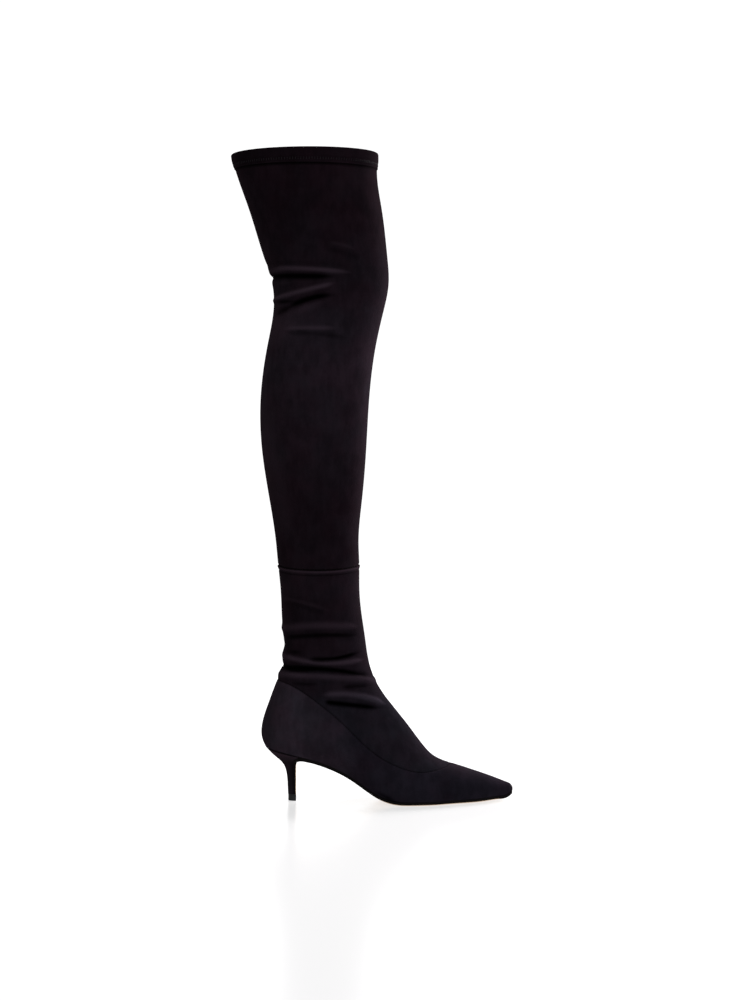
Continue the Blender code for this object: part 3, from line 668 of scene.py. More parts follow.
def topline(count):
    """Sections and angles at count places along the foot-to-ankle seam, evenly spaced over the surface."""
    first, last = section_at_back(TOPLINE_BACK_Z), section_at_front(TOPLINE_THROAT_X)
    back, throat = SKIN.back(first), SKIN.front(last)
    x = np.concatenate([[back[0]], column(TOPLINE, TOPLINE_COLUMNS, "x"), [throat[0]]])
    z = np.concatenate([[back[1]], column(TOPLINE, TOPLINE_COLUMNS, "z"), [throat[1]]])
    along = path_length(x, z)
    fine = along[-1] * np.sin(np.linspace(0, math.pi / 2, FINE_STEPS))
    fine_s, fine_angle = SKIN.section_through(spline(along, x, fine), spline(along, z, fine))
    fine_s[0], fine_angle[0], fine_s[-1], fine_angle[-1] = first, 0.0, last, math.pi
    steps = np.linalg.norm(np.diff(SKIN.point(fine_s, fine_angle, -1), axis=0), axis=-1)
    length = np.concatenate([[0.0], np.cumsum(steps)])
    at = np.linspace(0, length[-1], count)
    return np.interp(at, length, fine_s), np.interp(at, length, fine_angle)


def calf_seam(angle):
    """Section of the calf seam at each angle: lower at the sides of the leg than at its back and front."""
    return section_at_back(CALF_SEAM_Z) + CALF_SEAM_DIP * np.sin(angle)


def bump(distance, height, width):
    """A bell curve: height in the middle, fading over width on both sides."""
    return height * np.exp(-(distance / width) ** 2)


def end_fade(distance, length):
    """A smooth step from 0 to 1 that is half way at 0, over about twice length; just 1 for no length."""
    if not length:
        return 1.0
    return 1 / (1 + np.exp(-FADE_SLOPE * distance / length))


def spread(start, end, count, weight):
    """Places from start to end whose spacing is small where weight is large."""
    fine = np.linspace(start, end, FINE_STEPS)
    total = np.concatenate([[0.0], np.cumsum(weight((fine[1:] + fine[:-1]) / 2))])
    return np.interp(np.linspace(0, total[-1], count), total, fine)


def seam_weight(s, seam):
    """How close together rows lie beside a seam: 1 far from it, and SEAM_WEIGHT more at it."""
    return 1 + bump(s - seam, SEAM_WEIGHT, SEAM_REACH)


def fold_relief(folds, point, angle, side):
    """Sum of the folds: bell curves across the parabolas through each row's three points, faded at the ends.

    Round to the inner side the folds run lower and get shallower, so they follow the leg in a slight spiral.
    """
    inner = (1 + side * np.sin(angle)) / 2
    x, z = point[..., 0], point[..., 2] + INNER_DROP * inner
    total = np.zeros_like(x)
    for row in folds:
        fold = dict(zip(FOLD_COLUMNS, row))
        line = np.polyfit([fold["back_x"], fold["mid_x"], fold["front_x"]],
                          [fold["back_z"], fold["mid_z"], fold["front_z"]], 2)
        on_line = np.clip(x, fold["back_x"] - FOLD_REACH, fold["front_x"] + FOLD_REACH)
        slope = np.polyval(np.polyder(line), on_line)
        across = (z - np.polyval(line, on_line)) / np.hypot(1, slope)
        held = end_fade(x - fold["back_x"], fold["back_fade"])
        held = held * end_fade(fold["front_x"] - x, fold["front_fade"])
        total += held * bump(across, fold["height"], fold["width"] * (FOLD_TAPER + (1 - FOLD_TAPER) * held))
    return total * (1 - INNER_EASE * inner)


def distance_to(points, line):
    """Distance of each point to the nearest point of a finely divided line."""
    flat = points.reshape(-1, 3)
    squares = (flat ** 2).sum(-1)[:, None] + (line ** 2).sum(-1)[None] - 2 * flat @ line.T
    return np.sqrt(np.maximum(squares.min(-1), 0)).reshape(points.shape[:-1])


def raised(s, angle, side, height):
    """Points of the skin moved out along its normal by height."""
    return SKIN.point(s, angle, side) + height[..., None] * SKIN.normal(s, angle, side)


def grid_quads(rows, columns, closed=False):
    """Corner numbers of the quads of a grid of points, row by row; closed joins last column to first."""
    r = np.arange(rows - 1)[:, None] * columns
    c = np.arange(columns if closed else columns - 1)[None]
    following = (c + 1) % columns
    return np.stack([r + c, r + columns + c, r + columns + following, r + following], axis=-1).reshape(-1, 4)


def mesh_object(name, points, quads, materials, values=None):
    """A smooth mesh object at the origin from arrays of points and quads, with named numbers on points."""
    mesh = bpy.data.meshes.new(name)
    mesh.from_pydata(points * MM, [], quads)
    for title, numbers in (values or {}).items():
        layer = mesh.attributes.new(title, "FLOAT", "POINT")
        layer.data.foreach_set("value", np.asarray(numbers, np.float32).ravel())
    welded = bmesh.new()
    welded.from_mesh(mesh)
    bmesh.ops.remove_doubles(welded, verts=welded.verts, dist=WELD * MM)
    bmesh.ops.dissolve_degenerate(welded, edges=welded.edges, dist=WELD * MM)
    welded.to_mesh(mesh)
    welded.free()
    mesh.shade_smooth()
    for material in materials:
        mesh.materials.append(material)
    obj = bpy.data.objects.new(name, mesh)
    bpy.context.scene.collection.objects.link(obj)
    return obj


def line_sum(distance, lines):
    """Heights of the lines beside a seam, or their tints of painted shade and highlight, added up: a bell
    curve at each line's place.
    """
    return sum(bump(distance - place, height, width) for place, height, width in lines)


def light_and_nap_marks(point, marks):
    """Tint of the painted shade, painted highlights and nap tone of the marks: bell curves along and across
    each slanted stroke.
    """
    total = np.zeros(point.shape[:-1])
    for row in marks:
        mark = dict(zip(MARK_COLUMNS, row))
        slant = math.radians(mark["slant"])
        x, z = point[..., 0] - mark["x"], point[..., 2] - mark["z"]
        along = x * math.cos(slant) + z * math.sin(slant)
        across = z * math.cos(slant) - x * math.sin(slant)
        total += bump(along, mark["tint"], mark["length"]) * bump(across, 1.0, mark["width"])
    return total


def painted_light_tint(relief, lines):
    """Painted light and shade of the suede, from -1 to 1: dark in troughs and seams, light on crests."""
    return np.clip(relief / np.where(relief > 0, CREST_SCALE, CREASE_SCALE) + lines, -1, 1)


def sheet_object(name, halves, wall, materials):
    """A suede panel from the grids of its two halves, given a wall by Solidify with the lining inside."""
    points, quads, painted_lights = [], [], []
    start = 0
    for side, (grid, tint) in halves.items():
        faces = grid_quads(*grid.shape[:2]) + start
        quads.append(faces if side < 0 else faces[:, ::-1])
        points.append(grid.reshape(-1, 3))
        painted_lights.append(tint.ravel())
        start += len(points[-1])
    obj = mesh_object(name, np.concatenate(points), np.concatenate(quads), materials,
                      {"painted_light": np.concatenate(painted_lights)})
    shell = obj.modifiers.new("wall", "SOLIDIFY")
    shell.thickness = wall
    shell.offset = -1.0
    shell.material_offset = 1
    return obj


def loft_object(name, rings, materials, values=None):
    """A closed solid through rings of points; each end closes in rings that shrink to their middle."""
    middles = [np.broadcast_to(ring.mean(axis=0), (1, *ring.shape)) for ring in (rings[0], rings[-1])]
    closed = np.concatenate([middles[0], rings, middles[1]])
    numbers = {title: np.concatenate([v[:1], v, v[-1:]]) for title, v in (values or {}).items()}
    quads = grid_quads(*closed.shape[:2], closed=True)
    obj = mesh_object(name, closed.reshape(-1, 3), quads, materials, numbers)
    made = bmesh.new()
    made.from_mesh(obj.data)
    bmesh.ops.recalc_face_normals(made, faces=made.faces)
    made.to_mesh(obj.data)
    made.free()
    obj.data.set_sharp_from_angle(angle=SHARP_ANGLE)
    return obj


def paint_faces(obj, name, limit):
    """Gives the second material to faces whose points have more than limit of a named number, on average."""
    mesh = obj.data
    value = np.zeros(len(mesh.vertices), np.float32)
    mesh.attributes[name].data.foreach_get("value", value)
    corner = np.zeros(len(mesh.loops), np.int32)
    mesh.loops.foreach_get("vertex_index", corner)
    start = np.zeros(len(mesh.polygons), np.int32)
    mesh.polygons.foreach_get("loop_start", start)
    size = np.diff(np.append(start, len(corner)))
    share = np.add.reduceat(value[corner], start) / size
    mesh.polygons.foreach_set("material_index", (share > limit).astype(np.int32))


def settle(obj, node):
    """Makes a piece ride on the boot, in the place of a solid that it hides when one is named."""
    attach(obj, BODY)
    if node:
        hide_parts(node)


class Nodes:
    """A material's node tree, with short calls for the nodes that the finishes share."""

    def __init__(self, name):
        self.material = bpy.data.materials.new(name)
        self.material.use_nodes = True
        self.tree = self.material.node_tree
        self.shader = self.tree.nodes["Principled BSDF"]
        self.place = self.tree.nodes.new("ShaderNodeTexCoord").outputs["Object"]

    def add(self, kind, **settings):
        """A new node with its settings."""
        node = self.tree.nodes.new(kind)
        for name, value in settings.items():
            setattr(node, name, value)
        return node

    def link(self, source, target):
        self.tree.links.new(source, target)

    def stretched(self, scale):
        """Object coordinates scaled by a different factor along each axis."""
        node = self.add("ShaderNodeMapping")
        node.inputs["Scale"].default_value = scale
        self.link(self.place, node.inputs["Vector"])
        return node.outputs["Vector"]

    def noise(self, grain, vector=None):
        """Noise from 0 to 1 with the spots of a named grain."""
        size, detail, roughness = GRAINS[grain]
        node = self.add("ShaderNodeTexNoise")
        node.inputs["Scale"].default_value = 1 / (size * MM)
        node.inputs["Detail"].default_value = detail
        node.inputs["Roughness"].default_value = roughness
        self.link(vector or self.place, node.inputs["Vector"])
        return node.outputs["Fac"]

    def along(self, axis):
        """Object coordinate along one axis."""
        node = self.add("ShaderNodeSeparateXYZ")
        self.link(self.place, node.inputs["Vector"])
        return node.outputs[axis]

    def graded(self, axis, cool, *tones):
        """A colour factor that eases from tone to tone at places along an axis."""
        places, factors, hues = zip(*tones)
        node = self.add("ShaderNodeValToRGB")
        node.color_ramp.interpolation = "EASE"
        stops = node.color_ramp.elements
        while len(stops) < len(tones):
            stops.new(1.0)
        for stop, place, factor, hue in zip(stops, places, factors, hues):
            stop.position = (place - places[0]) / (places[-1] - places[0])
            stop.color = (*(factor * (1 + abs(hue) * (t - 1)) for t in (RED if hue > 0 else cool)), 1.0)
        self.link(self.ramp(self.along(axis), (places[0] * MM, places[-1] * MM)), node.inputs["Fac"])
        return node.outputs["Color"]

    def tinted(self, colour, factor):
        """A colour times a colour factor."""
        node = self.add("ShaderNodeVectorMath", operation="MULTIPLY")
        self.link(colour, node.inputs[0])
        self.link(factor, node.inputs[1])
        return node.outputs["Vector"]

    def attribute(self, name):
        """A named number of the mesh's points."""
        return self.add("ShaderNodeAttribute", attribute_name=name).outputs["Fac"]

    def remap(self, value, source, target=(0.0, 1.0), course="SMOOTHSTEP"):
        """Carries a value over from one range to another, eased at both ends unless course is LINEAR."""
        node = self.add("ShaderNodeMapRange", interpolation_type=course)
        for socket, number in zip(RANGE_SOCKETS, (*source, *target)):
            node.inputs[socket].default_value = number
        self.link(value, node.inputs["Value"])
        return node.outputs["Result"]

    def ramp(self, value, source):
        """A straight ramp from 0 to 1 over a range."""
        return self.remap(value, source, course="LINEAR")

    def math(self, operation, first, second):
        """Sum, product or the like of two values, each a number or another node's output."""
        node = self.add("ShaderNodeMath", operation=operation)
        for socket, value in zip(node.inputs, (first, second)):
            if isinstance(value, (int, float)):
                socket.default_value = value
            else:
                self.link(value, socket)
        return node.outputs["Value"]

    def mix(self, factor, first, second):
        """Colour between two others, each a plain colour or another node's output."""
        node = self.add("ShaderNodeMix", data_type="RGBA")
        self.link(factor, node.inputs["Factor"])
        sockets = [s for s in node.inputs if s.type == "RGBA"]
        for socket, value in zip(sockets, (first, second)):
            if hasattr(value, "is_linked"):
                self.link(value, socket)
            else:
                socket.default_value = (*value, 1.0)
        return [s for s in node.outputs if s.type == "RGBA"][0]

    def bumped(self, height, distance, strength):
        """Fine relief of the surface: height from 0 to 1 stands for distance in millimetres."""
        node = self.add("ShaderNodeBump")
        node.inputs["Distance"].default_value = distance * MM
        node.inputs["Strength"].default_value = strength
        self.link(height, node.inputs["Height"])
        self.link(node.outputs["Normal"], self.shader.inputs["Normal"])

    def driven(self, **sources):
        """Links node outputs to the shader's sockets; underscores stand for spaces."""
        for name, source in sources.items():
            self.link(source, self.shader.inputs[name.replace("_", " ")])

    def fixed(self, **values):
        """Constants set on the shader's own sockets; underscores stand for spaces."""
        for name, value in values.items():
            self.shader.inputs[name.replace("_", " ")].default_value = value


def tone(colour, factor, tint=WHITE):
    """A colour times a factor and a tint."""
    return tuple(c * factor * t for c, t in zip(colour, tint))


def suede(name, colour, sheen, tones):
    """Short brushed nap: cloudy brush marks, long strokes and fine fibres, with painted shade in troughs and
    seams and painted highlights on crests.

    tones tells how the colour changes along the boot, as the tables of tones do.
    """
    made = bpy.data.materials.get(name)
    if made:
        return made
    nodes = Nodes(name)
    clouds = nodes.noise("clouds")
    strokes = nodes.noise("strokes", nodes.stretched(STROKE_STRETCH))
    fibres = nodes.noise("fibres")
    hue = nodes.remap(nodes.noise("hue"), HUE_RANGE)
    brush = nodes.math("ADD", nodes.math("MULTIPLY", clouds, CLOUD_SHARE),
                       nodes.math("MULTIPLY", strokes, STROKE_SHARE))
    level = nodes.math("ADD", nodes.remap(brush, BRUSH_RANGE, BRUSH_LEVELS),
                       nodes.remap(fibres, FIBRE_RANGE, FIBRE_LEVELS))
    low, high = (nodes.mix(hue, tone(colour, factor, WARM), tone(colour, factor, COOL))
                 for factor in NAP_TONES)
    body = nodes.mix(level, low, high)
    # Painted highlight on crests and painted shade in troughs and seams, from the tint on the mesh's points
    painted_light = nodes.attribute("painted_light")
    lit = nodes.mix(nodes.ramp(painted_light, CREST_RANGE), body, tone(colour, CREST_TONE))
    dark = nodes.mix(nodes.ramp(painted_light, CREASE_RANGE), lit, tone(colour, CREASE_TONE))
    nodes.driven(Base_Color=nodes.tinted(dark, nodes.graded(*tones)),
                 Roughness=nodes.remap(fibres, GRAIN_RANGE, NAP_ROUGHNESS))
    nodes.bumped(nodes.math("ADD", fibres, nodes.math("MULTIPLY", strokes, STROKE_RELIEF)), *NAP_RELIEF)
    nodes.fixed(Specular_IOR_Level=0.0, Diffuse_Roughness=NAP_DIFFUSE, Sheen_Weight=sheen,
                Sheen_Roughness=SHEEN_ROUGHNESS, Sheen_Tint=SHEEN_TINT)
    return nodes.material


def leg_suede(colours):
    """Stretch suede of leg, ankle and band."""
    return suede("brushed_leg_suede", tuple(colours.leg), LEG_SHEEN, LEG_TONES)


def grained(name, colour, grain, stretch=None, *, tones, roughness, relief, specular):
    """A dull finish whose tone, gloss and relief all follow one grain."""
    made = bpy.data.materials.get(name)
    if made:
        return made
    nodes = Nodes(name)
    spots = nodes.noise(grain, nodes.stretched(stretch) if stretch else None)
    nodes.driven(Base_Color=nodes.mix(spots, *(tone(colour, factor) for factor in tones)),
                 Roughness=nodes.remap(spots, GRAIN_RANGE, roughness))
    nodes.bumped(spots, *relief)
    nodes.fixed(Specular_IOR_Level=specular)
    return nodes.material


def lining(colours):
    """Fine knitted lining: small ribs and a soft dull surface."""
    return grained("knitted_lining", tuple(colours.lining), "ribs", STROKE_STRETCH, tones=(0.7, 1.3),
                   roughness=(0.75, 0.9), relief=(0.2, 0.6), specular=0.2)


def edge_ink(colour):
    """Dull black ink on the cut edge of the leather, a little uneven."""
    return grained("edge_ink", colour, "ink", tones=(0.6, 1.4), roughness=(0.7, 0.85), relief=(0.1, 0.5),
                   specular=0.02)


def sole_leather(colour):
    """Smooth tan sole leather with faint pores and cloudy tone."""
    nodes = Nodes("tan_sole_leather")
    clouds = nodes.noise("hide")
    pores = nodes.noise("pores")
    plain = nodes.mix(nodes.remap(clouds, GRAIN_RANGE), *(tone(colour, factor) for factor in HIDE_TONES))
    worn = nodes.mix(nodes.remap(pores, PORE_RANGE, PORE_LEVELS), plain, tone(colour, PORE_TONE))
    nodes.driven(Base_Color=worn, Roughness=nodes.remap(clouds, GRAIN_RANGE, HIDE_ROUGHNESS))
    nodes.bumped(pores, distance=0.06, strength=0.5)
    nodes.fixed(Specular_IOR_Level=0.4)
    return nodes.material


def lift_rubber(colour):
    """Dull black rubber with a fine moulded grain."""
    nodes = Nodes("dull_lift_rubber")
    grain = nodes.noise("moulding")
    scuffs = nodes.noise("scuffs")
    nodes.driven(Base_Color=nodes.mix(nodes.remap(scuffs, SCUFF_RANGE), colour, tone(colour, SCUFF_TONE)),
                 Roughness=nodes.remap(scuffs, GRAIN_RANGE, RUBBER_ROUGHNESS))
    nodes.bumped(grain, distance=0.05, strength=0.5)
    nodes.fixed(Specular_IOR_Level=0.1)
    return nodes.material


def thread(colour):
    """Twisted sewing thread."""
    nodes = Nodes("sewing_thread")
    twist = nodes.noise("twist")
    nodes.driven(Base_Color=nodes.mix(twist, *(tone(colour, factor) for factor in THREAD_TONES)))
    nodes.bumped(twist, distance=0.08, strength=0.5)
    nodes.fixed(Roughness=0.8, Specular_IOR_Level=0.05)
    return nodes.material


def pale_floor(colour):
    """Smooth pale sheet lit from below, with a weak soft reflection."""
    nodes = Nodes("pale_floor")
    nodes.fixed(Base_Color=(*tone(colour, FLOOR_SHARE), 1.0), Roughness=FLOOR_ROUGHNESS, IOR=FLOOR_IOR,
                Emission_Color=(*WHITE, 1.0), Emission_Strength=FLOOR_GLOW)
    return nodes.material


class BootSizes(bpy.types.PropertyGroup):
    leg_wall: FloatProperty(name="Leg wall", description="Stretch suede and its lining", unit="LENGTH",
                            default=LEG_WALL * MM)
    foot_wall: FloatProperty(name="Foot wall", description="Suede, stiffener and lining of the foot",
                             unit="LENGTH", default=FOOT_WALL * MM)
    folds: FloatProperty(name="Folds", description="Depth of the folds, as a share of the drawn one",
                         subtype="FACTOR", default=1.0)
    stitch_pitch: FloatProperty(name="Stitch pitch", description="Distance between stitches of the band",
                                unit="LENGTH", default=STITCH_PITCH * MM)


class BootColours(bpy.types.PropertyGroup):
    leg: FloatVectorProperty(name="Leg suede", description="Stretch suede of leg, ankle and band",
                             subtype="COLOR", default=(0.0050, 0.0034, 0.0047))
    foot: FloatVectorProperty(name="Foot suede", description="Suede of the foot",
                              subtype="COLOR", default=(0.0064, 0.0049, 0.0066))
    heel: FloatVectorProperty(name="Heel suede", description="Suede over the heel",
                              subtype="COLOR", default=(0.0054, 0.0040, 0.0053))
    sole: FloatVectorProperty(name="Sole leather", description="Underside and heel front",
                              subtype="COLOR", default=(0.52, 0.36, 0.23))
    ink: FloatVectorProperty(name="Edge ink", description="Inked edge of the sole",
                             subtype="COLOR", default=(0.0026, 0.0022, 0.0022))
    lift: FloatVectorProperty(name="Lift rubber", description="Top piece under the heel",
                              subtype="COLOR", default=(0.009, 0.009, 0.0095))
    lining: FloatVectorProperty(name="Lining", description="Inside of the boot",
                                subtype="COLOR", default=(0.03, 0.027, 0.029))
    thread: FloatVectorProperty(name="Thread", description="Stitches of the band",
                                subtype="COLOR", default=(0.0065, 0.0052, 0.0062))


class BootStudio(bpy.types.PropertyGroup):
    distance: FloatProperty(name="Camera distance", description="From the camera to the middle of the boot",
                            default=2.0, unit="LENGTH")
    height: FloatProperty(name="Camera height", description="Above the floor", default=0.350, unit="LENGTH")
    aside: FloatProperty(name="Camera aside", description="Along the boot from its middle", default=0.00315,
                         unit="LENGTH")
    shift: FloatProperty(name="Camera shift", description="Downward shift of the picture", default=-0.05)
    floor: FloatVectorProperty(name="Floor", description="Colour of the floor", default=(0.9, 0.9, 0.9),
                               subtype="COLOR")


class BOOT_OT_leg(bpy.types.Operator):
    """Leg panel of stretch suede, from under the band to the calf seam, with the folds behind the knee"""

    bl_idname = "boot.leg"
    bl_label = "Leg panel"

    def execute(self, context):
        sizes, colours = context.scene.boot_sizes, context.scene.boot_colours
        angle = np.linspace(0, math.pi, RING_HALF + 1)
        top, end = BAND_LAYER + GAP, section_at_back(CALF_SEAM_Z)
        rows = spread(top, end, LEG_ROWS,
                      lambda s: seam_weight(s, end) + bump(s - KNEE_AT, KNEE_WEIGHT, KNEE_REACH))
        share = (rows[:, None] - top) / (end - top)
        s = top + share * (calf_seam(angle) - top)
        halves = {}
        for side in (-1, 1):
            point = SKIN.point(s, angle, side)
            below = s - calf_seam(angle)
            relief = sizes.folds * fold_relief(KNEE_FOLDS, point, angle, side)
            relief += line_sum(below, [CALF_GROOVE])
            # Painted shade in the groove of the calf seam and under the band, and the painted marks
            lines = line_sum(below, CALF_LINES[:1]) + line_sum(s, [BAND_SHADOW])
            tint = painted_light_tint(relief, lines + light_and_nap_marks(point, LEG_MARKS))
            halves[side] = raised(s, angle, side, relief + NAP_STAND), tint
        finishes = [leg_suede(colours), lining(colours)]
        obj = sheet_object("leg_panel_suede", halves, sizes.leg_wall, finishes)
        settle(obj, "leg_panel")
        return {"FINISHED"}


class BOOT_OT_ankle(bpy.types.Operator):
    """Ankle panel of stretch suede, from the calf seam to the topline of the foot, with its folds"""

    bl_idname = "boot.ankle"
    bl_label = "Ankle panel"

    def execute(self, context):
        sizes, colours = context.scene.boot_sizes, context.scene.boot_colours
        seam_s, seam_angle = topline(SEAM_ROWS + 1)
        top = section_at_back(CALF_SEAM_Z)
        above, front = (spread(top, end, ABOVE_ROWS + 1, lambda s: seam_weight(s, top))
                        for end in (seam_s[0], seam_s[0] - RIDGE_RISE))
        above = above[:-1]
        start_s = np.concatenate([above, seam_s])
        start_angle = np.concatenate([0 * above, seam_angle])
        ridge = np.concatenate([front, np.linspace(front[-1], seam_s[-1], SEAM_ROWS + 1)[1:]])
        even = np.linspace(0, 1, ANKLE_COLUMNS + 1)
        across = (even + FRONT_EASE * even ** 2) / (1 + FRONT_EASE)
        s = start_s[:, None] * (1 - across) + ridge[:, None] * across
        angle = start_angle[:, None] * (1 - across) + math.pi * across
        sag = np.concatenate([1 - (above - top) / (seam_s[0] - top), 0 * seam_s])
        s = s + CALF_SEAM_DIP * sag[:, None] * np.sin(angle)
        fine_s, fine_angle = topline(SEAM_STEPS)
        halves = {}
        for side in (-1, 1):
            point = SKIN.point(s, angle, side)
            below = s - calf_seam(angle)
            seam = distance_to(point, SKIN.point(fine_s, fine_angle, side))
            relief = sizes.folds * fold_relief(ANKLE_FOLDS, point, angle, side)
            relief += line_sum(below, [CALF_GROOVE, CALF_LIP, CALF_STITCH_LINE])
            relief = relief * (1 - bump(seam, *SEAM_CALM)) + bump(seam, *TOPLINE_GROOVE)
            # Painted shade in the grooves and painted highlight on the lip of the calf seam, and painted
            # shade along the topline
            lines = line_sum(below, CALF_LINES) + bump(seam, *TOPLINE_LINE)
            tint = painted_light_tint(relief, lines + light_and_nap_marks(point, ANKLE_MARKS))
            halves[side] = raised(s, angle, side, relief + NAP_STAND), tint
        finishes = [leg_suede(colours), lining(colours)]
        obj = sheet_object("ankle_panel_suede", halves, sizes.leg_wall, finishes)
        settle(obj, "ankle_panel")
        return {"FINISHED"}


class BOOT_OT_foot(bpy.types.Operator):
    """Foot of the boot, vamp and quarters in one, from the topline to the sole"""

    bl_idname = "boot.foot"
    bl_label = "Foot"

    def execute(self, context):
        sizes, colours = context.scene.boot_sizes, context.scene.boot_colours
        seam_s, seam_angle = topline(SEAM_ROWS + 1)
        last = seam_s[-1] + THROAT_SLANT
        seat_x = SEAT_BACK_X + SEAT_ROUND * (1 - np.cos(np.linspace(0, math.pi / 2, SEAT_ROWS + 1)))
        fine = np.linspace(SKIN.seat, last, FINE_STEPS)
        seat = np.interp(seat_x, SKIN.back(fine)[0], fine)
        behind = np.linspace(seam_s[0], SKIN.seat, COUNTER_ROWS + 1)[:-1]
        ahead = np.linspace(seat[-1], last, WAIST_ROWS + 1)[1:]
        ease = np.sin(np.linspace(0, math.pi / 2, VAMP_ROWS + 1)[1:])
        start_s = np.concatenate([behind, seat, ahead, last + (SKIN.end - last) * ease])
        end_s = np.concatenate([seam_s, seam_s[-1] + (SKIN.end - seam_s[-1]) * ease])
        end_angle = np.concatenate([seam_angle, np.full(VAMP_ROWS, math.pi)])
        even = np.linspace(0, 1, FOOT_COLUMNS_ACROSS + 1)
        across = (even + (1 - np.cos(math.pi * even)) / 2) / 2
        s = start_s[:, None] * (1 - across) + end_s[:, None] * across
        fine_s, fine_angle = topline(SEAM_STEPS)
        edge_s = np.linspace(SKIN.seat, SKIN.end, SEAM_STEPS)
        halves = {}
        for side in (-1, 1):
            start_angle = SKIN.first_angle(start_s, side)
            angle = start_angle[:, None] * (1 - across) + end_angle[:, None] * across
            point = SKIN.point(s, angle, side)
            seam = distance_to(point, SKIN.point(fine_s, fine_angle, side))
            edge = distance_to(point, SKIN.point(edge_s, SKIN.first_angle(edge_s, side), side))
            relief = bump(seam, *FOOT_GROOVE) + bump(edge, *FEATHER_TUCK)
            # Painted shade along the topline and where the foot turns in to the sole
            lines = bump(seam, *TOPLINE_LINE) + bump(edge, *FEATHER_LINE)
            tint = painted_light_tint(relief, lines + light_and_nap_marks(point, FOOT_MARKS))
            held = 1 - bump(s - SKIN.end, 1.0, TIP_REACH)
            halves[side] = raised(s, angle, side, held * (relief + FOOT_NAP_STAND)), tint
        foot = suede("brushed_foot_suede", tuple(colours.foot), FOOT_SHEEN, FOOT_TONES)
        obj = sheet_object("foot_suede", halves, sizes.foot_wall, [foot, lining(colours)])
        settle(obj, "upper")
        return {"FINISHED"}


def band_profile():
    """Outline of the folded band: offset from the skin and depth below its top edge.

    It runs up the outer face, over the top in half a circle, down the inner face and back round the edge
    of the leg panel. The outer face swells a little between its edges and dips at the stitch line.
    """
    outside, inside = GAP, -LEG_WALL - GAP
    deep, fold = BAND_DEPTH, BAND_LAYER
    radius = (outside - inside) / 2 + fold
    middle = (outside + inside) / 2
    face = np.linspace(deep, radius, BAND_FACE_POINTS)
    swell = BAND_SWELL * np.sin(math.pi * (face - radius) / (deep - radius))
    swell -= bump(face - STITCH_DEPTH, *BAND_DIP)
    top = np.linspace(0, math.pi, BAND_TOP_POINTS + 2)[1:-1]
    back = np.linspace(radius, deep, BAND_BACK_POINTS)
    hem = np.array([[outside + fold / 2, deep + BAND_HEM]])
    outer = np.stack([outside + fold + swell, face], axis=-1)
    over = np.stack([middle + radius * np.cos(top), radius * (1 - np.sin(top))], axis=-1)
    inner = np.stack([inside - fold + 0 * back, back], axis=-1)
    clear = fold + BAND_CLEAR
    slot = np.array([[inside, deep], [inside, clear], [outside, clear], [outside, deep]])
    return np.concatenate([hem, outer, over, inner, slot])


class BOOT_OT_band(bpy.types.Operator):
    """Folded band round the top edge, with its row of slanted stitches"""

    bl_idname = "boot.band"
    bl_label = "Top band"

    def execute(self, context):
        sizes, colours = context.scene.boot_sizes, context.scene.boot_colours
        profile = band_profile()
        angle = np.linspace(0, math.pi, BAND_RING_HALF + 1)
        offset, depth = (values[:, None] + 0 * angle for values in profile.T)
        halves = [raised(depth, angle, side, offset) for side in (-1, 1)]
        rings = np.concatenate([halves[0], halves[1][:, -2:0:-1]], axis=1)
        rings = np.concatenate([rings, rings[:1]])
        quads = grid_quads(*rings.shape[:2], closed=True)
        # Painted shade along the dip at the stitch line, and the band's painted marks
        dip = bump(profile[:, 1] - STITCH_DEPTH, *BAND_LINE)
        painted_light = np.concatenate([dip, dip[:1]])[:, None] + light_and_nap_marks(rings, BAND_MARKS)
        obj = mesh_object("top_band_suede", rings.reshape(-1, 3), quads, [leg_suede(colours)],
                          {"painted_light": painted_light})
        settle(obj, "top_band")
        self.stitches(sizes.stitch_pitch / MM, tuple(colours.thread))
        return {"FINISHED"}

    def stitches(self, pitch, colour):
        """Stitches: slim spindles, round in section, laid almost upright on the band at an even pitch."""
        fine = np.linspace(0, 2 * math.pi, 4 * FINE_STEPS)
        line = self.on_band(fine, np.full_like(fine, STITCH_DEPTH), 0.0)
        length = np.concatenate([[0.0], np.cumsum(np.linalg.norm(np.diff(line, axis=0), axis=-1))])
        count = round(length[-1] / pitch)
        along = np.linspace(-1, 1, STITCH_STEPS)
        place = (np.arange(count)[:, None] + 0.5) / count * length[-1] + STITCH_SLANT * along
        turn = np.interp(place, length, fine)
        depth = STITCH_DEPTH - STITCH_HALF * along + 0 * turn
        sunk = STITCH_LIFT - STITCH_SINK * along ** STITCH_DIVE + 0 * turn
        centre = self.on_band(turn, depth, sunk)
        run = np.gradient(centre, axis=1)
        run /= np.linalg.norm(run, axis=-1, keepdims=True)
        out = self.on_band(turn, depth, sunk + 1.0) - centre
        out -= run * (out * run).sum(-1, keepdims=True)
        out /= np.linalg.norm(out, axis=-1, keepdims=True)
        up = np.cross(run, out)
        around = np.linspace(0, 2 * math.pi, STITCH_SIDES, endpoint=False)[:, None]
        spoke = np.cos(around) * out[:, :, None] + np.sin(around) * up[:, :, None]
        thick = STITCH_RADIUS * np.sqrt(np.maximum(1 - along ** STITCH_BLUNT, STITCH_TIP))
        tube = centre[:, :, None] + thick[:, None, None] * spoke
        starts = np.arange(count)[:, None, None] * STITCH_STEPS * STITCH_SIDES
        quads = (grid_quads(STITCH_STEPS, STITCH_SIDES, closed=True) + starts).reshape(-1, 4)
        obj = mesh_object("band_stitches", tube.reshape(-1, 3), quads, [thread(colour)])
        settle(obj, None)

    def on_band(self, turn, depth, lift):
        """Points over the band's outer face: turn runs round the leg, from the back by the outer side."""
        angle = np.where(turn <= math.pi, turn, 2 * math.pi - turn)
        offset = GAP + BAND_LAYER + lift + 0 * turn
        halves = [raised(depth, angle, side, offset) for side in (-1, 1)]
        return np.where((turn <= math.pi)[..., None], *halves)


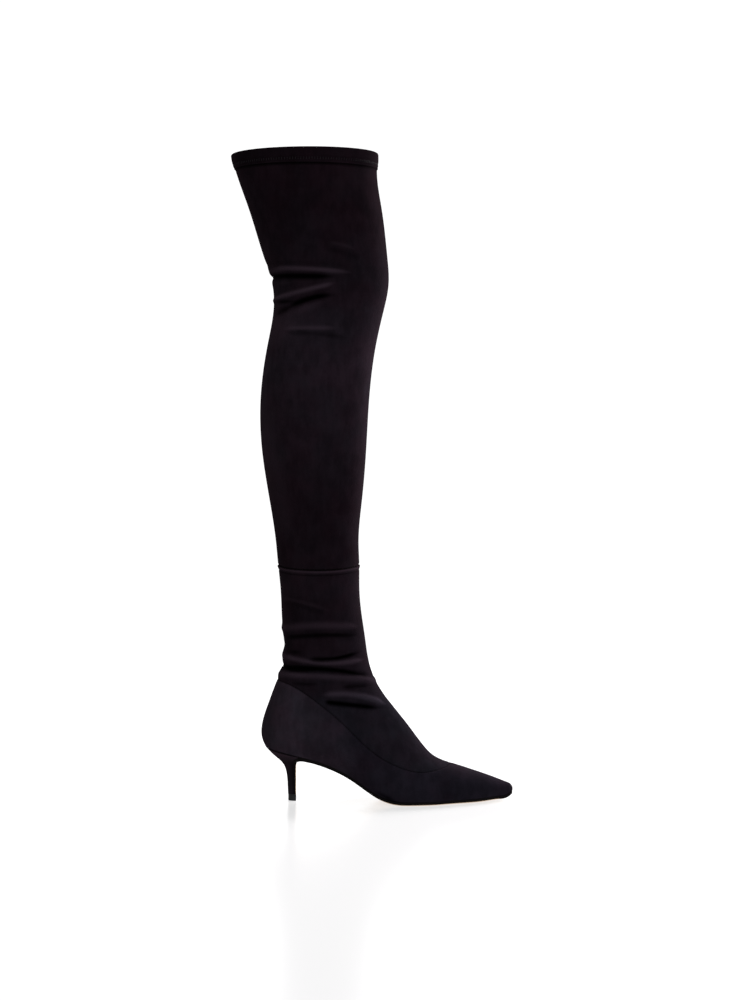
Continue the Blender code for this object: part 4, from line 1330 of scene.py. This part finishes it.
def half_ellipse(back_x, back_z, front_x, front_z, half_width):
    """Heel sections: half an ellipse from one front corner round the back to the other, then flat."""
    angle = np.linspace(-math.pi / 2, math.pi / 2, HEEL_POINTS)
    depth = 1 - np.cos(angle)
    x = back_x[:, None] + (front_x - back_x)[:, None] * depth
    z = back_z[:, None] + (front_z - back_z)[:, None] * depth
    round_back = np.stack([x, half_width[:, None] * np.sin(angle), z], axis=-1)
    share = np.linspace(0, 1, HEEL_FRONT_POINTS + 2)[1:-1, None]
    flat = round_back[:, -1:] * (1 - share) + round_back[:, :1] * share
    return np.concatenate([round_back, flat], axis=1)


class BOOT_OT_heel(bpy.types.Operator):
    """Suede-covered kitten heel and the rubber top piece under it"""

    bl_idname = "boot.heel"
    bl_label = "Heel"

    def execute(self, context):
        colours = context.scene.boot_colours
        data = [column(HEEL_SECTIONS, HEEL_COLUMNS, name) for name in HEEL_COLUMNS]
        along = path_length(data[0], data[1])
        at = np.linspace(0, along[-1], HEEL_STATIONS)
        rings = half_ellipse(*(spline(along, values, at) for values in data))
        turn = np.linspace(-math.pi / 2, math.pi / 2, HEEL_POINTS)
        # Painted shade down the back and the front corners of the stem, and along the heel's top edge under
        # the sole
        dark = bump(turn, *STEM_LINE) + bump(np.abs(turn) - math.pi / 2, *STEM_LINE)
        dark = np.pad(dark, (0, rings.shape[1] - HEEL_POINTS), mode="edge")
        stem = np.clip((at - STEM_START[0]) / (STEM_START[1] - STEM_START[0]), 0, 1)
        edge = bump(at, *FEATHER_LINE)[:, None] + stem[:, None] * dark
        cover = suede("brushed_heel_suede", tuple(colours.heel), HEEL_SHEEN, HEEL_TONES)
        settle(loft_object("heel_cover", rings, [cover], {"painted_light": edge}), "heel")
        arc = np.linspace(0, math.pi / 2, LIFT_EDGE_POINTS)
        z = np.concatenate([LIFT_EDGE * (1 - np.cos(arc)), [LIFT_HEIGHT / 2, LIFT_HEIGHT]])
        inset = np.concatenate([LIFT_EDGE * (1 - np.sin(arc)), [0.0, 0.0]])
        half_width = HEEL_SECTIONS[-1][HEEL_COLUMNS.index("half_width")]
        rings = half_ellipse(LIFT_BACK_X + inset, z, HEEL_FRONT_X - inset, z, half_width - inset)
        lift = loft_object("heel_lift", rings, [lift_rubber(tuple(colours.lift))])
        settle(lift, "top_piece")
        return {"FINISHED"}


def plate_rings(x, z, run, rise, thick, low, high, edge):
    """Rings of a plate along its path: a flat face with rounded edges, two sides and a flat back.

    x, z is the visible face, (run, rise) the direction into the plate, low and high its sides and edge the
    radius of its rounded edges. The second result tells the rim from the face: 1 on sides and back, 0 on
    the face.
    """
    arc = np.linspace(math.pi / 2, 0, EDGE_POINTS)
    inward = np.concatenate([[0.0, 0.0], 1 - np.sin(arc)])
    rounded = np.broadcast_to(edge * (1 - np.cos(arc)), (len(x), EDGE_POINTS))
    up = np.concatenate([thick[:, None] * [1.0, 0.5], rounded], axis=1)
    inset = np.minimum(edge, EDGE_SHARE * (high - low))[:, None]
    left_y, right_y = low[:, None] + inset * inward, high[:, None] - inset * inward[::-1]
    across = np.linspace(0, 1, FACE_POINTS)[1:-1]
    face_y = left_y[:, -1:] * (1 - across) + right_y[:, :1] * across
    back_y = right_y[:, -1:] * (1 - across) + left_y[:, :1] * across
    y = np.concatenate([left_y, face_y, right_y, back_y], axis=1)
    height = np.concatenate([up, 0 * face_y, up[:, ::-1], thick[:, None] + 0 * back_y], axis=1)
    on_side = np.concatenate([[1.0, 1.0], np.sin(arc)])
    rim = np.concatenate([on_side, 0 * across, on_side[::-1], 1 + 0 * across])
    rings = np.stack([x[:, None] + run[:, None] * height, y, z[:, None] + rise[:, None] * height], axis=-1)
    return rings, np.repeat(rim[None], len(x), axis=0)


def plate_stations(start, end, count):
    """Places along the foot, close together at the rounded ends."""
    return start + (end - start) * (1 - np.cos(np.linspace(0.0, math.pi, count))) / 2


def plate_sides(x, inset, end):
    """Outer and inner side of a plate at x: the middle line less and plus the half widths."""
    return [centre_y(x) + side * plan_half(x, side, inset, end) for side in (-1, 1)]


class BOOT_OT_sole(bpy.types.Operator):
    """Leather sole from the toe to the waist, turned down the front of the heel, and the insole inside"""

    bl_idname = "boot.sole"
    bl_label = "Sole and insole"

    def execute(self, context):
        colours = context.scene.boot_colours
        x = plate_stations(TOE_X - END_TRIM, TURN[0][0], SOLE_STATIONS)[:-1]
        one = np.ones_like(x)
        tread, rim = plate_rings(x, tread_height(x), 0 * one, one, (SOLE_THICKNESS + SOLE_HOLD) * one,
                                 *plate_sides(x, SOLE_INSET, TOE_X), SOLE_EDGE)
        rim -= np.interp(x, INK_PLACES, INK_LIMITS)[:, None]
        turned, turned_rim = self.turn()
        finishes = [sole_leather(tuple(colours.sole)), edge_ink(tuple(colours.ink))]
        sole = loft_object("leather_sole", np.concatenate([tread, turned]), finishes,
                           {"ink": np.concatenate([rim, turned_rim - INK_LIMITS[0]])})
        paint_faces(sole, "ink", 0.0)
        settle(sole, "outsole")
        end = TOE_X - INSOLE_SHORT
        x = plate_stations(SEAT_BACK_X + INSOLE_INSET + END_TRIM, end - END_TRIM, INSOLE_STATIONS)
        one = np.ones_like(x)
        rings, _ = plate_rings(x, feather_height(x) + INSOLE_THICKNESS, 0 * one, -one,
                               INSOLE_THICKNESS * one, *plate_sides(x, INSOLE_INSET, end), INSOLE_EDGE)
        sock = loft_object("insole_sock", rings, [lining(colours)])
        settle(sock, "insole")
        return {"FINISHED"}

    def turn(self):
        """Rings of the leather that leaves the waist and runs down the heel: it thins as it bends."""
        data = [column(TURN, TURN_COLUMNS, name) for name in TURN_COLUMNS]
        along = path_length(data[0], data[1])
        at = np.linspace(0, along[-1], TURN_STATIONS)
        x, z, half, thick = (spline(along, values, at) for values in data)
        x = np.maximum(x, HEEL_FRONT_X)
        path = np.stack([np.gradient(x), np.gradient(z)], axis=-1)
        path /= np.linalg.norm(path, axis=-1, keepdims=True)
        y = centre_y(x)
        return plate_rings(x, z, path[:, 1], -path[:, 0], thick, y - half, y + half, TURN_EDGE)


class BOOT_OT_stage(bpy.types.Operator):
    """Pale floor, soft studio light and the camera"""

    bl_idname = "boot.stage"
    bl_label = "Stage"

    def execute(self, context):
        studio = context.scene.boot_studio
        self.floor(tuple(studio.floor))
        self.world()
        for row in LIGHTS:
            self.area(**dict(zip(LIGHT_COLUMNS, row)))
        camera = bpy.data.cameras.new("camera")
        camera.lens = LENS
        camera.sensor_width = SENSOR
        camera.shift_y = studio.shift
        obj = bpy.data.objects.new("camera", camera)
        obj.location = (studio.aside, -studio.distance, studio.height)
        obj.rotation_euler = (math.pi / 2, 0.0, 0.0)
        context.scene.collection.objects.link(obj)
        context.scene.camera = obj
        context.scene.view_settings.view_transform = "Standard"
        return {"FINISHED"}

    def floor(self, colour):
        """A flat disc just under the boot: rings of points round the origin."""
        radius = np.linspace(0, FLOOR_RADIUS, FLOOR_RINGS)[:, None]
        turn = np.linspace(0, 2 * math.pi, FLOOR_SPOKES, endpoint=False)[None]
        level = CAD_BOX[0].z / MM - FLOOR_DROP
        points = np.stack([radius * np.cos(turn), radius * np.sin(turn), level + 0 * radius * turn], axis=-1)
        quads = grid_quads(*points.shape[:2], closed=True)
        floor = mesh_object("floor", points.reshape(-1, 3), quads, [pale_floor(colour)])

    def world(self):
        """White round the horizon and below it, dimmer overhead."""
        world = bpy.data.worlds.new("studio")
        world.use_nodes = True
        tree = world.node_tree
        back = tree.nodes["Background"]
        place = tree.nodes.new("ShaderNodeTexCoord")
        split = tree.nodes.new("ShaderNodeSeparateXYZ")
        fade = tree.nodes.new("ShaderNodeMapRange")
        fade.interpolation_type = "SMOOTHSTEP"
        for socket, number in zip(RANGE_SOCKETS, (*SKY_RANGE, HORIZON_LIGHT, ZENITH_LIGHT)):
            fade.inputs[socket].default_value = number
        tree.links.new(place.outputs["Generated"], split.inputs["Vector"])
        tree.links.new(split.outputs["Z"], fade.inputs["Value"])
        tree.links.new(fade.outputs["Result"], back.inputs["Strength"])
        back.inputs["Color"].default_value = (*WHITE, 1.0)
        bpy.context.scene.world = world

    def area(self, name, place, aim, size, power, colour):
        """A flat lamp at a place, turned to its aim."""
        light = bpy.data.lights.new(name, "AREA")
        light.shape = "RECTANGLE"
        light.size, light.size_y = size
        light.energy = power
        light.color = colour
        obj = bpy.data.objects.new(name, light)
        obj.location = place
        obj.rotation_euler = (Vector(aim) - Vector(place)).to_track_quat("-Z", "Y").to_euler()
        bpy.context.scene.collection.objects.link(obj)


class BOOT_PT_panel(bpy.types.Panel):
    """Sizes and colours of the boot, and the steps that make it"""

    bl_idname = "BOOT_PT_panel"
    bl_label = "Over-the-knee boot"
    bl_space_type = "VIEW_3D"
    bl_region_type = "UI"
    bl_category = "Boot"

    def draw(self, context):
        for group in (context.scene.boot_sizes, context.scene.boot_colours, context.scene.boot_studio):
            box = self.layout.box()
            for name in group.__annotations__:
                box.prop(group, name)
        for step in STEPS:
            self.layout.operator(step.bl_idname)


STEPS = (BOOT_OT_stage, BOOT_OT_leg, BOOT_OT_ankle, BOOT_OT_foot, BOOT_OT_band, BOOT_OT_heel, BOOT_OT_sole)
CLASSES = (BootSizes, BootColours, BootStudio) + STEPS + (BOOT_PT_panel,)


def register():
    for made in CLASSES:
        bpy.utils.register_class(made)
    bpy.types.Scene.boot_sizes = PointerProperty(type=BootSizes)
    bpy.types.Scene.boot_colours = PointerProperty(type=BootColours)
    bpy.types.Scene.boot_studio = PointerProperty(type=BootStudio)


def unregister():
    for name in ("boot_sizes", "boot_colours", "boot_studio"):
        delattr(bpy.types.Scene, name)
    for made in reversed(CLASSES):
        bpy.utils.unregister_class(made)


def main():
    register()
    bpy.ops.boot.stage()
    bpy.ops.boot.leg()
    bpy.ops.boot.ankle()
    bpy.ops.boot.foot()
    bpy.ops.boot.band()
    bpy.ops.boot.heel()
    bpy.ops.boot.sole()


if __name__ == "__main__":
    main()
